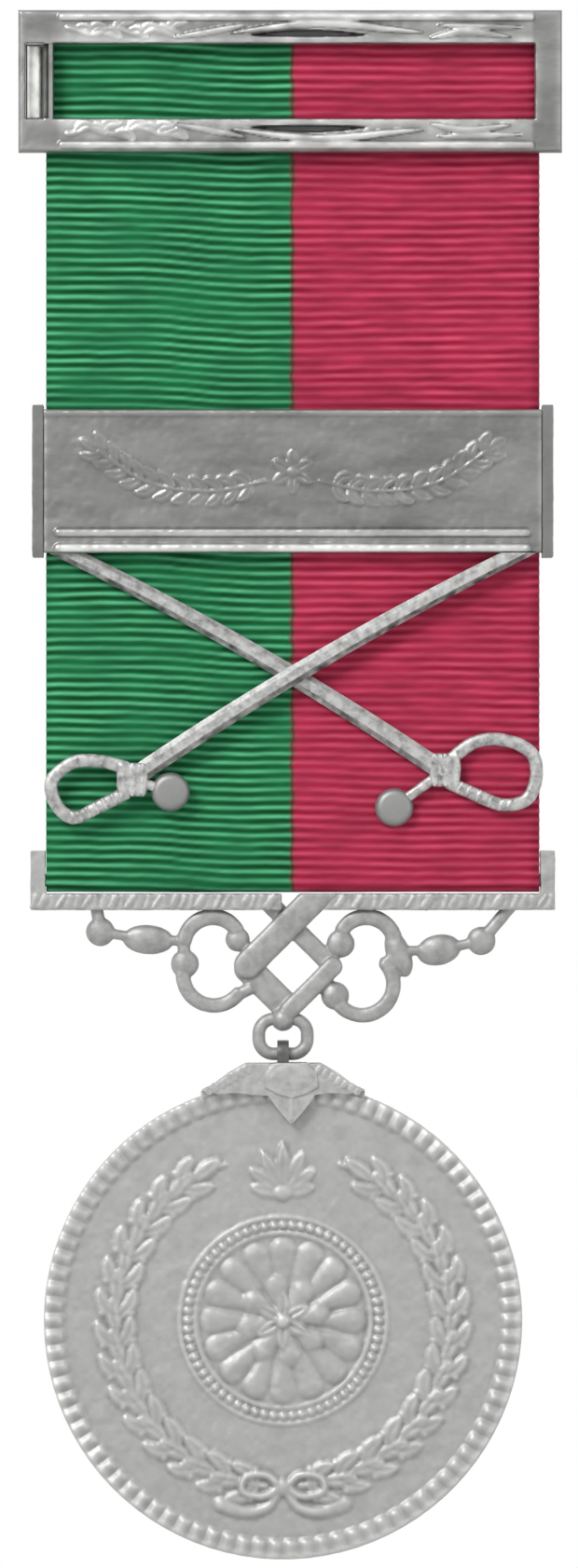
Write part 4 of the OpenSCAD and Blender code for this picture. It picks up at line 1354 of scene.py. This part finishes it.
def disc_faces(counts):
    faces = [(0, 1 + j, 1 + (j + 1) % counts[0]) for j in range(counts[0])]
    start = 1
    for inner, outer in zip(counts, counts[1:]):
        there = start + inner
        j = np.arange(inner)
        k = (j + 1) % inner
        if inner == outer:
            faces += np.column_stack([start + j, there + j, there + k, start + k]).tolist()
        else:
            mid = there + 2 * j + 1
            faces += np.column_stack([start + j, there + 2 * j, mid]).tolist()
            faces += np.column_stack([start + j, mid, start + k]).tolist()
            faces += np.column_stack([start + k, mid, there + (2 * j + 2) % outer]).tolist()
        start = there
    return faces


def border_height(x, z):
    """Rounded dentils round the field, which run out to a low lip at the edge."""
    r = np.hypot(x, z)
    turn = np.arctan2(z, x) * DENTILS
    bead = 0.3 + 0.7 * (0.5 + 0.5 * np.cos(turn)) ** 0.65
    tooth = bead * smoothstep(r, FIELD_R - 0.15, FIELD_R + 0.4)
    lip = 0.46 * smoothstep(r, DISC_R - LIP_W, DISC_R - LIP_W / 2)
    return FIELD_DEPTH * np.maximum(tooth, lip) - 0.5 * edge_drop(DISC_R - r, 0.3)


def branch(relief, side):
    """One side of the wreath: a stem with leaves in threes and two berries beside each bundle."""
    stem = mirrored(arc(MIDDLE, WREATH_R, -84, 70, 61), side)
    relief.stroke(stem, 0.2, 0.2)
    for i in range(1, len(stem) - 4, 4):
        step, normal = heading(stem, i)
        for hand in (-1, 1):
            tip = stem[i] + WREATH_LEAF_L * (0.85 * step + 0.5 * hand * normal)
            relief.leaf(stem[i], tip, WREATH_LEAF_HALF_W, 0.34, 0.12 * hand)
            relief.dome(stem[i] + 0.4 * step + 1.15 * hand * normal, (BERRY_R, BERRY_R), 0.26)
        root = stem[i + 2]
        relief.leaf(root, root + WREATH_LEAF_L * step, WREATH_LEAF_HALF_W, 0.4, 0)


def bow(relief, side):
    """Half of the bow that ties the wreath: a loop and a waving tail."""
    knot = (0, -WREATH_R)
    loop = mirrored([(0.2, 0.0), (1.3, 0.95), (2.9, 0.75), (3.1, -0.35), (1.5, -0.7), (0.2, 0.0)], side)
    relief.stroke(smooth_curve(loop + knot, 36), 0.34, 0.42)
    tail = mirrored([(0.2, -0.3), (1.3, -1.6), (3.0, -1.9), (4.8, -1.3)], side)
    relief.stroke(smooth_curve(tail + knot, 30), np.linspace(0.3, 0.6, 30), 0.32)
    relief.dome(knot, (0.6, 0.7), 0.5)


def palmette(relief):
    """A fan of petals between the wreath's tips."""
    foot = (0, 9.9)
    for lean, reach in ((80, 2.5), (54, 3.2), (27, 3.6), (0, 3.9)):
        for hand in (-1, 1):
            relief.leaf(foot, polar(foot, reach, 90 + lean * hand), 0.62, 0.36, 0)
    relief.dome(foot, (0.8, 0.6), 0.45)


def petals(relief, count, r_in, r_out, height, turn=0):
    """A ring of round petals, widest and highest at their outer ends."""
    widening = 0.95 * math.pi / count
    half_w = widening * r_out / (1 + widening)
    share = np.linspace(0, 1, 8)
    for k in range(count):
        angle = turn + 360 * k / count
        line = np.linspace(polar(MIDDLE, r_in, angle), polar(MIDDLE, r_out - half_w, angle), len(share))
        relief.stroke(line, half_w * (0.3 + 0.7 * share), height * (0.55 + 0.45 * share))


def medallion(relief):
    """A patera: round lobes and a double rosette inside a ring of beads."""
    for r in (BEAD_RING_R - 0.6, BEAD_RING_R + 0.6):
        relief.stroke(arc(MIDDLE, r, 0, 360, 73), 0.16, 0.22)
    for k in range(RING_BEADS):
        relief.dome(polar(MIDDLE, BEAD_RING_R, 360 * k / RING_BEADS), (RING_BEAD_R, RING_BEAD_R), 0.32)
    petals(relief, LOBES, 2.6, BEAD_RING_R - 0.9, 0.34)
    petals(relief, LOBES // 2, 0.9, 3.7, 0.46, 180 / LOBES)
    rosette(relief, MIDDLE, 2.2, 0.56, 6)


def field_ornament(relief):
    """A tied wreath round a medallion."""
    relief.layer(branch)
    relief.layer(bow)
    palmette(relief)
    medallion(relief)


def softened(x, z, ornament):
    """The ornament's heights as a worn die strikes them: the mean of copies a little apart."""
    shifts = ((0, 0), (SOFT_REACH, 0), (-SOFT_REACH, 0), (0, SOFT_REACH), (0, -SOFT_REACH))
    total = np.zeros_like(x)
    for across, up in shifts:
        relief = Relief(x + across, z + up, SOFTNESS)
        ornament(relief)
        total += relief.height
    return total / len(shifts)


def disc_face(rings, side, ornament):
    points, counts = disc_points(rings)
    x, z = points.T
    height = border_height(x, z)
    if ornament:
        rubbed = 0.85 + 0.25 * flat_noise(x, z, 2.2, 73)
        rise = RELIEF_RISE * rubbed * softened(x, z, ornament)
        height = height + np.where(np.hypot(x, z) < FIELD_R - 0.1, rise, 0)
    height = height + dents(x, z, (0.02, 0.4, 74), (0.024, 0.8, 71), (0.02, 3.0, 72))
    y = side * (DISC_HALF_T - FIELD_DEPTH + height)
    return np.column_stack([x, y, z]), disc_faces(counts), counts[-1]


def disc_mesh():
    front, front_faces, rim = disc_face(FRONT_RINGS, -1, field_ornament)
    back, back_faces, _ = disc_face(BACK_RINGS, 1, None)
    first = len(front) - rim
    second = len(front) + len(back) - rim
    j = np.arange(rim)
    k = (j + 1) % rim
    wall = np.column_stack([first + j, second + j, second + k, first + k]).tolist()
    faces = front_faces + [tuple(i + len(front) for i in face)[::-1] for face in back_faces] + wall
    return mesh_from("medal_disc_struck", np.vstack([front, back]) + DISC_AT, faces)


add_piece(disc_mesh(), "medal", ["medal_disc"], STRUCK, depth=0.1,
          reach=10, sharp=60)


# Claw on the disc's edge, measured from the disc's middle

LEAF_T = 0.54
CAP_T = 0.68
CLAW_HALF = (claw_high[0] - claw_low[0]) / 2
CLAW_TOP = claw_high[2] - DISC_AT[2]
TONGUE_X = 0.65
SCALLOPS = 7
SCALLOP_HALF_W = 0.26


def claw_wing():
    """The right wing's outline: a flat top, a sloping shoulder and the edge along the disc."""
    top, edge = CLAW_TOP - 0.1, DISC_R - 0.75
    return [(0.3, top), (2.9, top), (4.2, top - 0.75), (5.4, top - 1.65), (CLAW_HALF, edge + 0.05),
            (5.0, edge - 0.25), (3.6, edge - 0.15), (2.4, edge - 0.3), (0.3, edge - 0.4)]


def symmetrical(side):
    """A closed outline about the tongue's middle, from the points of its right side."""
    side = np.asarray(side, float)
    return np.vstack([side, side[::-1] * (-1, 1)]) + (TONGUE_X, 0)


def claw_tongue():
    top, tip = DISC_R - 0.3, DISC_R - 3.25
    return symmetrical([(2.05, top), (1.75, top - 0.9), (1.0, tip + 1.0), (0.25, tip + 0.15), (0.1, tip)])


def claw_cap():
    """The round cap over the tongue's root, with a shallow V for its lower edge."""
    low_edge = [(0.05, DISC_R - 1.25), (1.1, DISC_R - 0.95)]
    shoulder = smooth_curve([(2.05, DISC_R - 0.45), (1.95, DISC_R + 0.6), (1.2, CLAW_TOP - 0.05)], 12)
    return symmetrical(np.vstack([low_edge, shoulder]))


def claw_ridges(face):
    """On one face: scallops along the shoulders, the tongue's vein and the cap's low dome."""
    parts = []
    depth = face * (DISC_HALF_T + LEAF_T)
    for side in (-1, 1):
        shoulder = np.linspace((3.0, CLAW_TOP - 0.3), (CLAW_HALF - 0.35, DISC_R - 0.5), SCALLOPS)
        for at in shoulder:
            scallop = np.linspace(*mirrored([at, at - (0.42, 0.55)], side), 8)
            half_w = SCALLOP_HALF_W * rounded_ends(scallop, SCALLOP_HALF_W)
            parts.append(sweep(lifted(scallop, depth), half_w, 0.08))
    vein = np.linspace((TONGUE_X, DISC_R - 1.2), (TONGUE_X, DISC_R - 3.0), 10)
    parts.append(sweep(lifted(vein, depth), 0.14, 0.1, sides=12))
    parts.append(ellipsoid((TONGUE_X, face * (DISC_HALF_T + CAP_T), DISC_R + 0.3), (1.7, 0.08, 1.0)))
    return parts


def claw_mesh():
    """A saddle over the disc's edge, with two wings, a tongue and a cap on each face."""
    reach = math.degrees(math.asin(CLAW_HALF / DISC_R))
    inner = arc(MIDDLE, DISC_R - 0.2, 90 - reach, 90 + reach, 40)
    wing = np.array(claw_wing())
    crest = wing[:5] - (0, 0.12)
    saddle = np.vstack([crest[::-1], crest * (-1, 1), inner[::-1]])
    parts = [prism(saddle, DISC_HALF_T + 0.2, -DISC_HALF_T - 0.2)]
    for face in (-1, 1):
        base = face * (DISC_HALF_T - 0.1)
        for side in (-1, 1):
            parts.append(prism(mirrored(wing, side), base, face * (DISC_HALF_T + LEAF_T)))
        parts.append(prism(claw_tongue(), base, face * (DISC_HALF_T + LEAF_T)))
        parts.append(prism(claw_cap(), base, face * (DISC_HALF_T + CAP_T)))
        parts.extend(claw_ridges(face))
    verts, faces = join(parts)
    parts = [(verts + DISC_AT, faces)]
    return cast("medal_claw_cast", parts, voxel=0.065, relax=2, grain=0.02, seed=81)


add_piece(claw_mesh(), "medal", ["medal_claw"], LIT_CLAW_CAST, depth=0.12)


# Small pieces that keep their CAD shape

def finish_node(node, material, radius):
    """Rounds the edges of a CAD node with modifiers and gives it its metal."""
    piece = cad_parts[node]
    merge = piece.modifiers.new("weld", "WELD")
    merge.merge_threshold = 0.001 * MM
    flat = piece.modifiers.new("flat", "DECIMATE")
    flat.decimate_type = "DISSOLVE"
    flat.angle_limit = math.radians(1)
    bevel = piece.modifiers.new("bevel", "BEVEL")
    bevel.width = radius * MM
    bevel.segments = 3
    bevel.limit_method = "ANGLE"
    bevel.angle_limit = math.radians(50)
    piece.data.materials.clear()
    piece.data.materials.append(material)


def dull_beyond(material, x, run, share):
    """Dulls a metal to a share of its colour, over a run from the place x on."""
    tree = material.node_tree
    shader = tree.nodes["Principled BSDF"]
    bright = shader.inputs["Base Color"].links[0].from_socket
    beyond = map_range(tree, x_of(tree, object_place(tree)), 0, 1, x * MM, (x + run) * MM)
    dull = mix_colours(tree, bright, grey(share), mode="MULTIPLY")
    feed(tree, shader, {"Base Color": mix_colours(tree, bright, dull, beyond)})


# The pin's barrel keeps a near-white tone as a painted highlight, and its shank behind the ribbon is
# duller
dull_beyond(PIN_WIRE, x=SLOT[1], run=0.5, share=0.55)
for node in ("rod_lug_left", "rod_lug_right", "hinge_ear_upper", "hinge_ear_lower", "pin_catch"):
    finish_node(node, SMALL_CAST, 0.08)
for node in ("top_rod", "ribbon_rod", "hinge_wire", "claw_rivet"):
    finish_node(node, WIRE, 0.06)
finish_node("medal_eye", SHADED_WIRE, 0.06)
finish_node("brooch_pin", PIN_WIRE, 0.06)


# Stage, in metres

FLOOR_Z = -0.124
FLOOR_HALF = 0.4
SHADOW_R = 0.07
WHITE_R = 0.13
CAMERA_DISTANCE = 0.9
VIEW_X = -0.00009
VIEW_Z = -0.05434
VIEW_HEIGHT = 0.1214
WHITE = (1, 1, 1)


def seen_rays(tree):
    """1 for rays from the camera, in reflections and through glass, and 0 for all others."""
    rays = add_node(tree, "ShaderNodeLightPath")
    seen = rays.outputs["Is Camera Ray"]
    for kind in ("Is Glossy Ray", "Is Transmission Ray"):
        seen = combine(tree, "MAXIMUM", seen, rays.outputs[kind])
    return seen


def floor_material():
    """Pale floor that keeps the object's shadow near it and runs out to white further off."""
    material, tree, shader, place = new_material("pale_floor")
    feed(tree, shader, {"Roughness": 0.9, "Base Color": (0.86, 0.86, 0.85)})
    length = add_node(tree, "ShaderNodeVectorMath", {0: place}, operation="LENGTH").outputs["Value"]
    far = map_range(tree, length, 0, 1, SHADOW_R, WHITE_R)
    whitened = combine(tree, "MULTIPLY", seen_rays(tree), far)
    white = add_node(tree, "ShaderNodeEmission", {"Color": WHITE})
    mix_shaders(tree, "Material Output", whitened, shader.outputs["BSDF"], white.outputs["Emission"])
    return material


def make_floor():
    corners = FLOOR_HALF * np.array([(-1, -1, 0), (1, -1, 0), (1, 1, 0), (-1, 1, 0)])
    mesh = mesh_from("floor", corners, [(0, 1, 2, 3)])
    mesh.materials.append(floor_material())
    floor = add_object("floor", mesh)
    floor.location = (0, 0, FLOOR_Z)


def make_world():
    """White behind the object and in reflections, and softer light on everything else."""
    world = bpy.data.worlds.new("studio")
    world.use_nodes = True
    tree = world.node_tree
    soft = tree.nodes["Background"]
    feed(tree, soft, {"Color": WHITE, "Strength": 0.42})
    white = add_node(tree, "ShaderNodeBackground", {"Color": WHITE, "Strength": 1.0})
    mix_shaders(tree, "World Output", seen_rays(tree),
                soft.outputs["Background"], white.outputs["Background"])
    bpy.context.scene.world = world


def place_at(thing, place):
    """Puts a lamp or the camera in its place, turned to the middle of the view."""
    thing.location = place
    towards = Vector((VIEW_X, 0, VIEW_Z)) - thing.location
    thing.rotation_euler = towards.to_track_quat("-Z", "Y").to_euler()


def make_lamp(name, place, size, power):
    data = bpy.data.lights.new(name, "AREA")
    data.size = size
    data.energy = power
    place_at(add_object(name, data), place)


def make_camera():
    data = bpy.data.cameras.new("camera")
    data.sensor_fit = "VERTICAL"
    data.sensor_height = 36
    data.lens = data.sensor_height * CAMERA_DISTANCE / VIEW_HEIGHT
    camera = add_object("camera", data)
    place_at(camera, (VIEW_X, -CAMERA_DISTANCE + METAL_Y * MM, VIEW_Z))
    bpy.context.scene.camera = camera


make_floor()
make_world()
make_lamp("key", (-0.30, -0.42, 0.30), size=0.22, power=2.6)
make_lamp("fill", (0.45, -0.5, 0.05), size=0.4, power=0.5)
make_lamp("back_fill", (0.1, 0.6, 0.2), size=0.5, power=1.2)
make_camera()
bpy.context.scene.view_settings.view_transform = "Standard"
